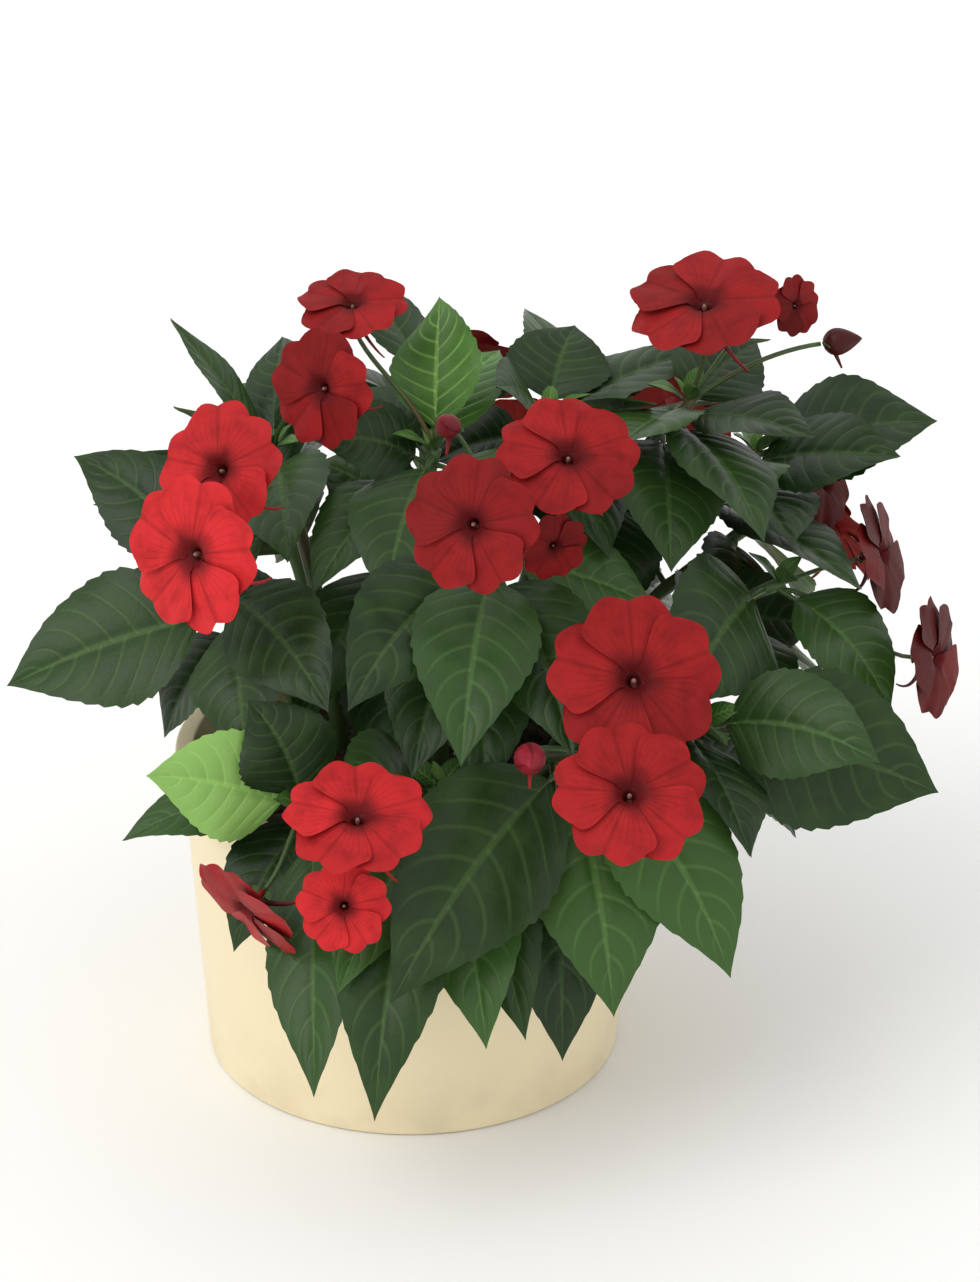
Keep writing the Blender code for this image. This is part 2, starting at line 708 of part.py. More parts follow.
def boolean(obj, operation, others):
    """Joins the other objects to this one, or cuts them from it, and removes them."""
    group = bpy.data.collections.new("others")
    for other in others:
        group.objects.link(other)
    change = obj.modifiers.new("boolean", "BOOLEAN")
    change.operation = operation
    change.operand_type = "COLLECTION"
    change.collection = group
    graph = bpy.context.evaluated_depsgraph_get()
    mesh = bpy.data.meshes.new_from_object(obj.evaluated_get(graph))
    obj.modifiers.clear()
    old = obj.data
    mesh.name = obj.name
    kept = list(old.materials)
    obj.data = mesh
    mesh.materials.clear()
    for material in kept:
        mesh.materials.append(material)
    bpy.data.meshes.remove(old)
    for other in others:
        used = other.data
        bpy.data.objects.remove(other)
        bpy.data.meshes.remove(used)
    bpy.data.collections.remove(group)


def smoothed(obj):
    """Shades the piece smooth, with its true edges left sharp."""
    obj.data.shade_smooth()
    obj.data.set_sharp_from_angle(angle=SHARP_ANGLE)


def lathe(profile, sides):
    """A closed body turned about the Z axis from a closed profile of (radius, height)."""
    verts = []
    rings = []
    for radius, height in profile:
        if radius < 0.01:
            rings.append([len(verts)] * sides)
            verts.append(Vector((0, 0, height)))
            continue
        rings.append(list(range(len(verts), len(verts) + sides)))
        for k in range(sides):
            a = math.tau * k / sides
            verts.append(Vector((radius * math.cos(a), radius * math.sin(a), height)))
    faces = []
    for low, high in zip(rings, rings[1:]):
        for k in range(sides):
            m = (k + 1) % sides
            face = []
            for index in (low[k], low[m], high[m], high[k]):
                if index not in face:
                    face.append(index)
            faces.append(tuple(face))
    return verts, faces


def wall_radius(height):
    """The outer radius of the pot's plain wall at this height."""
    return BASE_RADIUS + (RIM_RADIUS - BASE_RADIUS) * height / POT_HEIGHT


def make_pot():
    band = POT_HEIGHT - RIM_BAND
    rim = RIM_RADIUS + RIM_PROUD
    profile = (
        (0, 0),
        (BASE_RADIUS - POT_EDGE, 0),
        (BASE_RADIUS, POT_EDGE),
        (wall_radius(band), band),
        (rim - 0.4, band + 1),
        (rim, POT_HEIGHT - POT_EDGE),
        (rim - POT_EDGE, POT_HEIGHT),
        (RIM_RADIUS - WALL + POT_EDGE, POT_HEIGHT),
        (RIM_RADIUS - WALL, POT_HEIGHT - POT_EDGE),
        (BASE_RADIUS - WALL, FLOOR),
        (0, FLOOR),
    )
    pot = mesh_object("pot", lathe(profile, POT_SIDES), POT_COLOUR, 0.45)
    drills = []
    for k in range(DRAINS):
        a = math.tau * (k + 0.5) / DRAINS
        at = Vector((DRAIN_RING * math.cos(a), DRAIN_RING * math.sin(a), -1))
        drills.append(mesh_object("drain", tube([at, at + UP * (FLOOR + 2)], [DRAIN_RADIUS] * 2, 8)))
    boolean(pot, "DIFFERENCE", drills)
    smoothed(pot)


def make_soil():
    """The potting soil: it fills the pot to just under the rim, with a hole for each stem."""
    draw = random.Random(7)
    inner_base = BASE_RADIUS - WALL - SOIL_GAP
    slope = (RIM_RADIUS - BASE_RADIUS) / POT_HEIGHT
    floor = FLOOR + SOIL_GAP
    rim = inner_base + slope * (SOIL_TOP - floor)
    profile = [(0, floor), (inner_base, floor), (rim, SOIL_TOP - 1)]
    for i in range(1, SOIL_RINGS):
        share = 1 - i / SOIL_RINGS
        profile.append((rim * share, SOIL_TOP + SOIL_CROWN * (1 - share * share)))
    profile.append((0, SOIL_TOP + SOIL_CROWN))
    verts, faces = lathe(profile, POT_SIDES)
    for p in verts:
        if p.z >= SOIL_TOP:
            p.z += draw.uniform(-SOIL_LUMP, SOIL_LUMP)
    soil = mesh_object("soil", (verts, faces), SOIL_COLOUR, 0.95)
    holes = []
    for shoot in SHOOTS:
        x, y = shoot.root
        foot = Vector((x, y, SOIL_TOP - STEM_BURIED - SOIL_GAP))
        width = (STEM_BASE_RADIUS + HOLE_GAP) / math.cos(math.pi / HOLE_SIDES)
        holes.append(mesh_object("hole", tube([foot, foot + UP * 40], [width] * 2, HOLE_SIDES)))
    boolean(soil, "DIFFERENCE", holes)


def make_shoot(shoot, blades):
    """One shoot in one piece: its stem, its leaves and the stalks of its blooms and buds."""
    stem = tube(stem_path(shoot, STEM_STEPS), stem_radii(STEM_STEPS), STEM_SIDES)
    obj = mesh_object("leafy_stem_" + shoot.name, stem, LEAF_COLOUR, 0.4)
    joined = [mesh_object("leaf", leaf_mesh(blade)) for blade in blades]
    radii = [PEDICEL_RADIUS] * 4
    stalks = [bloom_stalk(bloom) for bloom in BLOOMS if bloom.shoot == shoot.name]
    stalks += [bud_stalk(bud) for bud in BUDS if bud.shoot == shoot.name]
    joined += [mesh_object("stalk", tube(path, radii, PEDICEL_SIDES)) for path in stalks]
    boolean(obj, "UNION", joined)
    smoothed(obj)


def make_bloom(bloom):
    """One bloom in one piece: its petals, the funnel behind them and the spur."""
    aim = facing(bloom.azimuth, bloom.elevation)
    back = bloom_back(bloom)
    throat = Vector(bloom.centre) - aim * (0.1 * bloom.radius)
    verts = [throat, back]
    faces = []
    rim = []
    for number in range(PETALS):
        shape = petal_mesh(Petal(bloom, number))
        first = len(verts)
        verts += shape[0]
        faces += [tuple(i + first for i in face) for face in shape[1]]
        rim += [first + 2, first]
    for a, b in zip(rim, rim[1:] + rim[:1]):
        faces += [(0, a, b), (1, b + 1, a + 1)]
    for a, b in zip(rim[1::2], rim[2::2] + rim[:1]):
        faces += [(a, a + 1, b + 1), (a, b + 1, b)]
    obj = mesh_object("bloom_" + bloom.name, (verts, faces), BLOOM_COLOUR, 0.45)
    radii = [SPUR_RADIUS + 0.4 - 0.4 * i / SPUR_STEPS for i in range(SPUR_STEPS + 1)]
    boolean(obj, "UNION", [mesh_object("spur", tube(spur_path(bloom), radii, SPUR_SIDES))])
    smoothed(obj)


def make_bud(bud):
    smoothed(mesh_object("bud_" + bud.name, bud_mesh(bud), BUD_COLOUR, 0.45))


def main():
    for obj in list(bpy.data.objects):
        bpy.data.objects.remove(obj, do_unlink=True)
    grown = growth()
    make_pot()
    make_soil()
    for shoot in SHOOTS:
        make_shoot(shoot, grown[shoot.name])
    for bloom in BLOOMS:
        make_bloom(bloom)
    for bud in BUDS:
        make_bud(bud)


main()
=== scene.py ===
"""Busy lizzie in a plain pot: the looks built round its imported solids.

The tables give lengths in millimetres and angles in degrees; MM turns them into metres.
+Z is up, the front of the plant is -Y, and the origin is the middle of the pot's underside.
Azimuth 0 points to the front (-Y) and 90 to the right (+X).
"""

import math
import random
from collections import namedtuple

import bmesh
import bpy
from bpy.props import FloatProperty, FloatVectorProperty, IntProperty, PointerProperty
from bpy.types import Operator, Panel, PropertyGroup
from mathutils import Matrix, Vector, noise
from mathutils.bvhtree import BVHTree


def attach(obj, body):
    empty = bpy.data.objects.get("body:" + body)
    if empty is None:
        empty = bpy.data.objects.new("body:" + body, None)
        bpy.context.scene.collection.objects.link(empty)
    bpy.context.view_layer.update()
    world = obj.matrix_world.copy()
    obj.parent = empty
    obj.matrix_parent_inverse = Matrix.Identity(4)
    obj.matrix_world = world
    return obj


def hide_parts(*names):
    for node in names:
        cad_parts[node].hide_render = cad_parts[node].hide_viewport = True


bl_info = {
    "name": "Busy Lizzie in its Pot",
    "version": (1, 0, 0),
    "blender": (4, 5, 0),
    "location": "View3D > Sidebar > Busy Lizzie",
    "description": "Builds a flowering busy lizzie, its soil and its pot round the packed solids",
    "category": "Add Mesh",
}

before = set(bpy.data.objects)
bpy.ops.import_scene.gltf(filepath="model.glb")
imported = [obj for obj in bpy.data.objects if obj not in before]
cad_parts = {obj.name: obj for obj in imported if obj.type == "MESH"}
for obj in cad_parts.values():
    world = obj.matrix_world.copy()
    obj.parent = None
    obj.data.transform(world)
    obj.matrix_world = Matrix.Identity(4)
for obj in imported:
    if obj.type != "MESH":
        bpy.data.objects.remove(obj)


MM = 0.001
UP = Vector((0, 0, 1))
GOLDEN_ANGLE = 137.5
TO_LIGHT = 0.5

# The pot
RIM_RADIUS = 70
BASE_RADIUS = 64
POT_HEIGHT = 100
WALL = 4
FLOOR = 5
RIM_BAND = 13
RIM_PROUD = 1.5
DRAIN_RADIUS = 5
DRAIN_RING = 36
DRAINS = 4

# The potting soil
SOIL_TOP = 87
SOIL_GAP = 0.3
SOIL_CROWN = 3

# The shoots
STEM_BURIED = 12
STEM_KNEE = 3
STEM_BASE_RADIUS = 3.0
STEM_TIP_RADIUS = 1.7
STEM_LEAN = 0.22
STEM_RISE = 0.62

# A leaf: a short stalk, then a pointed blade folded along its midrib
STALK_SHARE = 0.15
STALK_RADIUS = 1.0
BLADE_THICK = 0.8
BLADE_RISE = 0.78
BLADE_FALL = 1.22
BLADE_FOLD = 0.26
BLADE_CURL = 0.20
BLADE_WAVE = 0.07
LEAF_ARCH = 0.24
LEAF_SLIMNESS = 2.0
MOUND_HEART = Vector((20, 25, 95))
LEAF_TURN = 0.75

# A bloom: five broad notched petals in a flat pinwheel, a funnel behind and a thin spur
PETALS = 5
PETAL_THICK = 0.8
PETAL_HALF = 0.49
PETAL_CLAW = 0.10
PETAL_NOTCH = 0.93
PETAL_SAUCER = 0.10
PETAL_ROLL = 0.10
FUNNEL_DEPTH = 7
SPUR_RADIUS = 0.8
PEDICEL_RADIUS = 0.9
PEDICEL_GAP = 0.35

# Bending clear
CLEARANCE = 0.8
OPEN_REACH = 60
OPEN_SHARE = 0.75
LIFTS = (0, 5, -5, 10, -10, 16, -16, 24, -24)
TURNS = (0, 6, -6, 12, -12, 20, -20, 30, -30)
ROLLS = (0, 15, -15, 30, -30)
LENGTHS = (1, 0.88, 0.76)
MOST_TRIES = 300
KEY_TRIES = 160

Leaf = namedtuple("Leaf", "at tip width roll young arch", defaults=(0, 0, LEAF_ARCH))
Shoot = namedtuple("Shoot", "name root tip leaves fillers phase")
Bloom = namedtuple("Bloom", "name shoot centre azimuth elevation turn radius")
Bud = namedtuple("Bud", "name shoot centre azimuth elevation length")

SHOOTS = (
    Shoot("front_left", (-16, -28), (-30, -70, 112), (
        Leaf(0.86, (-25, -126, 52), 30, 0, 0, 0.12),
        Leaf(0.97, (-73, -76, 127), 32, -20, 1, 0.12),
        Leaf(0.78, (-80, -74, 102), 24, 20),
        Leaf(0.99, (-52, -58, 138), 30),
        Leaf(0.72, (-51, -86, 78), 26),
    ), 1, 330),
    Shoot("front", (2, -34), (10, -68, 118), (
        Leaf(0.90, (-8, -132, 48), 34, 0, 0, 0.30),
        Leaf(0.80, (23, -120, 64), 34),
        Leaf(0.98, (-18, -124, 84), 30, 0, 0, 0.1),
        Leaf(0.70, (34, -112, 62), 30),
    ), 1, 0),
    Shoot("front_right", (22, -28), (50, -60, 126), (
        Leaf(0.97, (92, -98, 74), 38),
        Leaf(0.99, (-3, -134, 87), 46, 0, 0, 0.15),
        Leaf(0.88, (60, -112, 72), 42),
        Leaf(0.80, (46, -114, 60), 36),
    ), 1, 20),
    Shoot("left", (-28, -8), (-56, -26, 162), (
        Leaf(0.86, (-118, -26, 131), 42, -24, 0, 0.08),
        Leaf(0.97, (-99, 8, 190), 30),
        Leaf(0.90, (-46, -62, 124), 32),
        Leaf(0.99, (-20, -62, 134), 32),
        Leaf(0.76, (-72, -30, 116), 30),
    ), 1, 200),
    Shoot("upper_left", (-22, 16), (-42, 28, 184), (
        Leaf(0.97, (-72, 42, 221), 18, 50, 0, 0.05),
        Leaf(0.92, (-70, 18, 202), 24, 0, 0, 0.1),
        Leaf(0.99, (-40, 62, 210), 24),
        Leaf(0.95, (-34, -34, 174), 32),
    ), 2, 200),
    Shoot("top_left", (-6, 4), (8, 4, 194), (
        Leaf(0.99, (9, 30, 232), 34, 0, 0.6),
        Leaf(0.96, (27, 44, 210), 26, 0, 0.45),
        Leaf(0.97, (-6, -54, 170), 34),
        Leaf(0.90, (-28, -44, 178), 30),
        Leaf(0.94, (28, -30, 182), 28),
        Leaf(0.62, (-32, -50, 126), 32),
        Leaf(0.93, (-24, -14, 196), 28, -30),
        Leaf(0.95, (-18, 30, 208), 28, 0, 0, 0.15),
        Leaf(0.70, (-27, 19, 184), 28, -25, 0, 0.15),
    ), 2, 300),
    Shoot("top", (12, 18), (42, 28, 196), (
        Leaf(0.98, (44, 56, 214), 32),
        Leaf(0.96, (24, 4, 208), 26),
        Leaf(0.95, (70, -4, 210), 30, 0, 0, 0.1),
        Leaf(0.90, (58, -36, 176), 36),
        Leaf(0.97, (92, 46, 206), 30, 0, 0, 0.1),
        Leaf(0.80, (68, -12, 166), 34),
        Leaf(0.92, (7, 26, 181), 28, -25, 0, 0.15),
    ), 1, 20),
    Shoot("top_right", (24, 6), (84, 16, 205), (
        Leaf(0.98, (60, -24, 206), 32, 0, 0, 0.08),
        Leaf(0.95, (118, -12, 204), 32, 15, 0, 0.12),
        Leaf(0.90, (76, -36, 172), 36),
        Leaf(0.93, (104, -36, 196), 36),
        Leaf(0.72, (58, -28, 150), 32),
        Leaf(0.96, (108, 44, 212), 30, 0, 0, 0.1),
    ), 1, 30),
    Shoot("upper_right", (32, 24), (106, 36, 180), (
        Leaf(0.98, (159, 42, 190), 42, 30, 0, 0.12),
        Leaf(0.94, (150, 18, 190), 34, 25, 0, 0.10),
        Leaf(0.90, (128, -4, 180), 38, 20, 0, 0.15),
        Leaf(0.96, (88, -12, 172), 36),
        Leaf(0.82, (138, -12, 158), 34, 15, 0, 0.12),
    ), 2, 80),
    Shoot("lower_right", (36, -12), (86, -36, 122), (
        Leaf(0.97, (156, -38, 102), 48, 28, 0, 0.10),
        Leaf(0.86, (117, -12, 73), 28),
        Leaf(0.92, (98, -82, 104), 34),
        Leaf(0.99, (136, -58, 122), 34, 10),
    ), 1, 60),
    Shoot("right", (42, 6), (112, 4, 151), (
        Leaf(0.97, (147, -10, 119), 36, 22),
        Leaf(0.95, (91, -50, 133), 46, 0, 0, 0.25),
        Leaf(0.80, (112, -30, 127), 32),
        Leaf(0.76, (76, -40, 142), 34),
        Leaf(0.70, (124, 19, 129), 30, 25, 0, 0.15),
    ), 1, 95),
    Shoot("centre", (8, -12), (26, -38, 178), (
        Leaf(0.99, (72, -44, 167), 30, 0, 0, 0.1),
        Leaf(0.97, (16, -104, 144), 36),
        Leaf(0.93, (48, -94, 146), 34),
        Leaf(0.95, (-14, -88, 148), 34),
        Leaf(0.74, (28, -78, 121), 32),
        Leaf(0.80, (2, -80, 128), 32),
    ), 1, 340),
    Shoot("back_left", (-24, 36), (-52, 62, 168), (), 7, 220),
    Shoot("back", (0, 42), (6, 72, 188), (), 7, 178),
    Shoot("back_right", (26, 42), (62, 68, 182), (), 7, 142),
    Shoot("rear_right", (44, 28), (108, 66, 144), (
        Leaf(0.97, (122, 28, 128), 34),
        Leaf(0.93, (102, 26, 124), 34),
    ), 4, 125),
)

BLOOMS = (
    Bloom("left_low", "left", (-59, -60, 188), -36, 14, 0, 22),
    Bloom("left_high", "left", (-53, -32, 202), -35, 30, 20, 20),
    Bloom("top_left_side", "upper_left", (-24, -20, 222), -35, 12, 0, 17),
    Bloom("top_left", "top_left", (-16, 10, 237), -10, 72, 0, 16),
    Bloom("centre_left", "centre", (19, -76, 204), -20, 20, 0, 19),
    Bloom("centre_top", "top", (46, -46, 212), 8, 56, 0, 20),
    Bloom("centre_low", "centre", (42, -52, 187), 20, 0, 0, 10),
    Bloom("top_right", "top_right", (86, 8, 238), -20, 68, 0, 22),
    Bloom("top_right_small", "top_right", (114, 22, 232), 38, 14, 0, 9),
    Bloom("right_hidden", "upper_right", (126, 34, 170), 60, 20, 0, 13),
    Bloom("right_high", "right", (142, 16, 155), 72, 20, 0, 18),
    Bloom("far_right", "right", (157, -6, 131), 64, 12, 0, 18),
    Bloom("main", "front_right", (64, -82, 160), 6, 38, 0, 24),
    Bloom("main_low", "front_right", (62, -112, 140), 4, 50, 10, 21),
    Bloom("front_left_high", "front_left", (-12, -114, 134), 4, 68, 0, 20),
    Bloom("front_left_low", "front_left", (-16, -121, 110), -10, 20, 0, 13),
    Bloom("front_left_side", "front_left", (-44, -99, 97), -46, -28, 0, 18),
    Bloom("back_left", "back_left", (-66, 92, 150), 200, 30, 0, 21),
    Bloom("back_top", "back", (14, 112, 178), 180, 35, 0, 22),
    Bloom("back_low", "back", (34, 128, 146), 172, 20, 0, 20),
    Bloom("back_right", "back_right", (84, 106, 170), 150, 30, 0, 21),
    Bloom("rear_right", "rear_right", (136, 90, 132), 120, 25, 0, 20),
)

BUDS = (
    Bud("centre", "centre", (12, -50, 223), -30, 40, 10),
    Bud("front", "front_right", (35, -92, 140), 0, 10, 13),
    Bud("top_right", "top_right", (128, 22, 221), 90, 8, 12),
    Bud("back", "back_left", (-28, 112, 158), 175, -10, 11),
)


def facing(azimuth, elevation):
    """The direction at this azimuth and elevation, in degrees; azimuth 0 is the front."""
    a = math.radians(azimuth)
    e = math.radians(elevation)
    return Vector((math.sin(a) * math.cos(e), -math.cos(a) * math.cos(e), math.sin(e)))


def curve_point(ends, t):
    """The point at share t of a curve with three or four control points."""
    points = list(ends)
    while len(points) > 1:
        points = [a.lerp(b, t) for a, b in zip(points, points[1:])]
    return points[0]


def curve_slope(ends, t):
    """The direction of that curve at share t."""
    return curve_point([b - a for a, b in zip(ends, ends[1:])], t).normalized()


def stem_curve(shoot):
    """The control points of a shoot above its knee, where it leaves the soil upright."""
    x, y = shoot.root
    knee = Vector((x, y, SOIL_TOP + STEM_KNEE))
    tip = Vector(shoot.tip)
    rise = tip - knee
    return knee, knee + Vector((rise.x * STEM_LEAN, rise.y * STEM_LEAN, rise.z * STEM_RISE)), tip


def stem_path(shoot, steps):
    """Points up a shoot from its end in the soil."""
    curve = stem_curve(shoot)
    foot = curve[0] - UP * (STEM_KNEE + STEM_BURIED)
    return [foot] + [curve_point(curve, i / steps) for i in range(steps + 1)]


def stem_radii(steps):
    return [STEM_BASE_RADIUS] + [
        STEM_BASE_RADIUS + (STEM_TIP_RADIUS - STEM_BASE_RADIUS) * i / steps
        for i in range(steps + 1)
    ]


def tube(points, radii, sides, side=Vector((1, 0, 0))):
    """The vertices and faces of a closed tube along the points."""
    verts = []
    for i, (point, radius) in enumerate(zip(points, radii)):
        ahead = (points[min(i + 1, len(points) - 1)] - points[max(i - 1, 0)]).normalized()
        if abs(ahead.dot(side)) > 0.95:
            side = Vector((0, 1, 0))
        side = (side - ahead * ahead.dot(side)).normalized()
        other = ahead.cross(side)
        for k in range(sides):
            a = math.tau * k / sides
            verts.append(point + (side * math.cos(a) + other * math.sin(a)) * radius)
    faces = []
    for i in range(len(points) - 1):
        for k in range(sides):
            a = i * sides + k
            b = i * sides + (k + 1) % sides
            faces.append((a, b, b + sides, a + sides))
    last = (len(points) - 1) * sides
    faces.append(tuple(reversed(range(sides))))
    faces.append(tuple(range(last, last + sides)))
    return verts, faces


class Blade:
    """One leaf from its base inside the stem to its tip: a surface over share u and side v."""

    def __init__(self, base, tip, width, roll=0, young=0, arch=LEAF_ARCH, phase=0):
        self.young = young
        self.phase = phase
        self.half = width / 2
        chord = tip - base
        self.length = chord.length
        flat = Vector((chord.x, chord.y, 0))
        if flat.length < 1:
            flat = Vector((0, -1, 0))
        self.left = UP.cross(flat.normalized())
        crown = chord.normalized().cross(self.left)
        self.curve = base, base + chord / 2 + crown * (arch * self.length), tip
        out = (base.lerp(tip, 0.6) - MOUND_HEART).normalized()
        turn = math.atan2(-out.dot(self.left), out.dot(crown))
        self.roll = LEAF_TURN * min(max(turn, -1), 1) + math.radians(roll)

    def frame(self, u):
        """The midrib point, the way to the left edge and the way up out of the face."""
        ahead = curve_slope(self.curve, u)
        up = ahead.cross(self.left)
        left = self.left * math.cos(self.roll) + up * math.sin(self.roll)
        return curve_point(self.curve, u), left, ahead.cross(left)

    def half_width(self, s):
        """Half the blade's width at share s of the blade."""
        peak = BLADE_RISE / (BLADE_RISE + BLADE_FALL)
        top = peak**BLADE_RISE * (1 - peak) ** BLADE_FALL
        s = min(max(s, 0), 1)
        return self.half * s**BLADE_RISE * (1 - s) ** BLADE_FALL / top

    def point(self, s, v, sink=0, spare=0):
        """A point of the upper face at share s of the blade and v across, sunk below it."""
        centre, left, up = self.frame(STALK_SHARE + (1 - STALK_SHARE) * s)
        w = max(self.half_width(s), STALK_RADIUS) if s < 0.3 else self.half_width(s)
        w += spare
        wave = BLADE_WAVE * math.sin(9.5 * s + self.phase + (1.3 if v > 0 else 0))
        lift = BLADE_FOLD * abs(v) - BLADE_CURL * v * v + wave * v * v
        return centre + left * (v * w) + up * (lift * w - sink)

    def stalk(self, v, sink=0):
        """A point of the stalk's end inside the stem."""
        centre, left, up = self.frame(0)
        return centre + left * (v * STALK_RADIUS) + up * (STALK_RADIUS - sink)

    def hull(self, spare, rows=8):
        """A coarse blade, thicker by the spare distance, to test what it would cross.

        With a ninth row it takes in the stalk as well.
        """
        verts = []
        for i in range(rows):
            for v in (-1, 0, 1):
                for sink in (-spare, BLADE_THICK + spare):
                    if i < 8:
                        verts.append(self.point(1 - i / 7, v, sink, spare))
                    else:
                        verts.append(self.stalk(v * (1 + spare), sink + 0.5))
        faces = []
        for i in range(rows - 1):
            a = i * 6
            b = a + 6
            faces += [(a, a + 2, b + 2), (a, b + 2, b)]
            faces += [(a + 2, a + 4, b + 4), (a + 2, b + 4, b + 2)]
            faces += [(a + 1, b + 3, a + 3), (a + 1, b + 1, b + 3)]
            faces += [(a + 3, b + 5, a + 5), (a + 3, b + 3, b + 5)]
            faces += [(a, b, b + 1), (a, b + 1, a + 1)]
            faces += [(a + 4, a + 5, b + 5), (a + 4, b + 5, b + 4)]
        return verts, faces


class Petal:
    """One petal of a bloom: an outline of (along, across) shares of the bloom's radius."""

    def __init__(self, bloom, number):
        self.radius = bloom.radius
        self.axis = facing(bloom.azimuth, bloom.elevation)
        across = UP.cross(self.axis)
        if across.length < 0.01:
            across = Vector((1, 0, 0))
        across.normalize()
        over = self.axis.cross(across)
        angle = math.radians(bloom.turn + 90 + 360 * number / PETALS)
        self.along = across * math.cos(angle) + over * math.sin(angle)
        self.across = self.axis.cross(self.along)
        self.centre = Vector(bloom.centre)
        self.lean = 0.02 * math.sin(2.4 * number + bloom.turn)

    def point(self, r, a, sink=0):
        """The point r out and a across, in shares of the radius, sunk behind the face."""
        spread = math.hypot(r, a)
        height = PETAL_SAUCER * (0.55 * spread - spread * spread + 0.32)
        height += PETAL_ROLL * a + self.lean * r
        height -= 0.20 * max(0, 0.22 - spread) / 0.22
        place = self.along * r + self.across * a + self.axis * height
        return self.centre + place * self.radius - self.axis * sink


PETAL_EDGE = ((PETAL_CLAW, 0.045), (0.36, 0.25), (0.66, PETAL_HALF), (0.96, 0.27))


def bloom_back(bloom):
    """Where a bloom's funnel ends and its stalk begins."""
    return Vector(bloom.centre) - facing(bloom.azimuth, bloom.elevation) * FUNNEL_DEPTH


def spur_path(bloom, steps=3):
    """Points down the spur: back from the funnel, then down and aside."""
    aim = facing(bloom.azimuth, bloom.elevation)
    down = (facing(0, -60) - aim * aim.dot(facing(0, -60))).normalized()
    side = aim.cross(down)
    start = bloom_back(bloom) + aim * 3
    size = bloom.radius / 22
    ends = (
        start,
        start + (down * 8 + side * 4 - aim * 3) * size,
        start + (down * 12 + side * 9 - aim * 9) * size,
        start + (down * 9 + side * 12 - aim * 15) * size,
    )
    return [curve_point(ends, i / steps) for i in range(steps + 1)]


def bud_mesh(bud, sides=7):
    """A plump pointed bud."""
    aim = facing(bud.azimuth, bud.elevation)
    shares = ((-0.5, 0.10), (-0.3, 0.30), (0, 0.38), (0.3, 0.27), (0.5, 0.06))
    points = [Vector(bud.centre) + aim * (bud.length * along) for along, _ in shares]
    return tube(points, [bud.length * wide for _, wide in shares], sides)


def pedicel_path(shoot, end, aim, steps):
    """Points from the shoot's tip to a bloom or a bud, arriving along its aim."""
    curve = stem_curve(shoot)
    start = curve_point(curve, 0.93)
    reach = (end - start).length
    ends = start, start + curve_slope(curve, 0.93) * reach * 0.35, end - aim * reach * 0.3, end
    return [curve_point(ends, i / steps) for i in range(steps + 1)]


def bloom_stalk(bloom, steps=3):
    aim = facing(bloom.azimuth, bloom.elevation)
    end = bloom_back(bloom) - aim * PEDICEL_GAP
    return pedicel_path(SHOOT_BY_NAME[bloom.shoot], end, aim, steps)


def bud_stalk(bud, steps=3):
    aim = facing(bud.azimuth, bud.elevation)
    end = Vector(bud.centre) - aim * (bud.length / 2 + PEDICEL_GAP)
    return pedicel_path(SHOOT_BY_NAME[bud.shoot], end, aim, steps)


SHOOT_BY_NAME = {shoot.name: shoot for shoot in SHOOTS}


class Crowd:
    """The pieces placed so far, to test whether a new one would cross them."""

    def __init__(self):
        self.pieces = []
        self.open = []

    def add(self, owner, shape):
        self.pieces.append((owner, *self.measured(shape)))

    @staticmethod
    def measured(shape):
        verts, faces = shape
        low = [min(p[i] for p in verts) for i in range(3)]
        high = [max(p[i] for p in verts) for i in range(3)]
        return low, high, BVHTree.FromPolygons(verts, faces)

    def crosses(self, shape, owner, with_own):
        """Whether the shape crosses a piece of this owner's, or else one of any other's."""
        low, high, tree = self.measured(shape)
        for name, other_low, other_high, other in self.pieces:
            if (name == owner) != with_own:
                continue
            if any(low[i] > other_high[i] or high[i] < other_low[i] for i in range(3)):
                continue
            if tree.overlap(other):
                return True
        return False

    def hides(self, shape):
        """Whether a leaf would stand in the open space in front of a bloom."""
        for centre, aim, radius in self.open:
            for p in shape[0]:
                away = p - centre
                along = away.dot(aim)
                if 2 < along < OPEN_REACH and (away - aim * along).length < radius:
                    return True
        return False


def bends():
    """The bends tried on a leaf, the slightest first."""
    tries = []
    for lift in LIFTS:
        for turn in TURNS:
            for roll in ROLLS:
                for length in LENGTHS:
                    cost = abs(lift) + 0.8 * abs(turn) + 0.4 * abs(roll) + 110 * (1 - length)
                    tries.append((cost, lift, turn, roll, length))
    return [one[1:] for one in sorted(tries)]


def bent(base, tip, bend):
    """The tip after a bend about the base."""
    lift, turn, _, length = bend
    chord = (tip - base) * length
    flat = Vector((chord.x, chord.y, 0))
    axis = flat.cross(UP).normalized() if flat.length > 1 else Vector((1, 0, 0))
    chord = Matrix.Rotation(math.radians(lift), 3, axis) @ chord
    return base + Matrix.Rotation(math.radians(turn), 3, "Z") @ chord


def placed(crowd, owner, base, leaf, tries, open_space):
    """The leaf at its place, or at the first bend that clears the rest; None if none does."""
    tip = Vector(leaf.tip)
    for bend in tries:
        end = bent(base, tip, bend)
        width = leaf.width * (0.5 + 0.5 * bend[3])
        roll = leaf.roll + bend[2]
        blade = Blade(base, end, width, roll, leaf.young, leaf.arch, sum(leaf.tip))
        shape = blade.hull(CLEARANCE)
        if open_space and crowd.hides(shape):
            continue
        if crowd.crosses(shape, owner, True):
            continue
        if not crowd.crosses(blade.hull(CLEARANCE, 9), owner, False):
            crowd.add(owner, blade.hull(0, 9))
            return blade
    return None


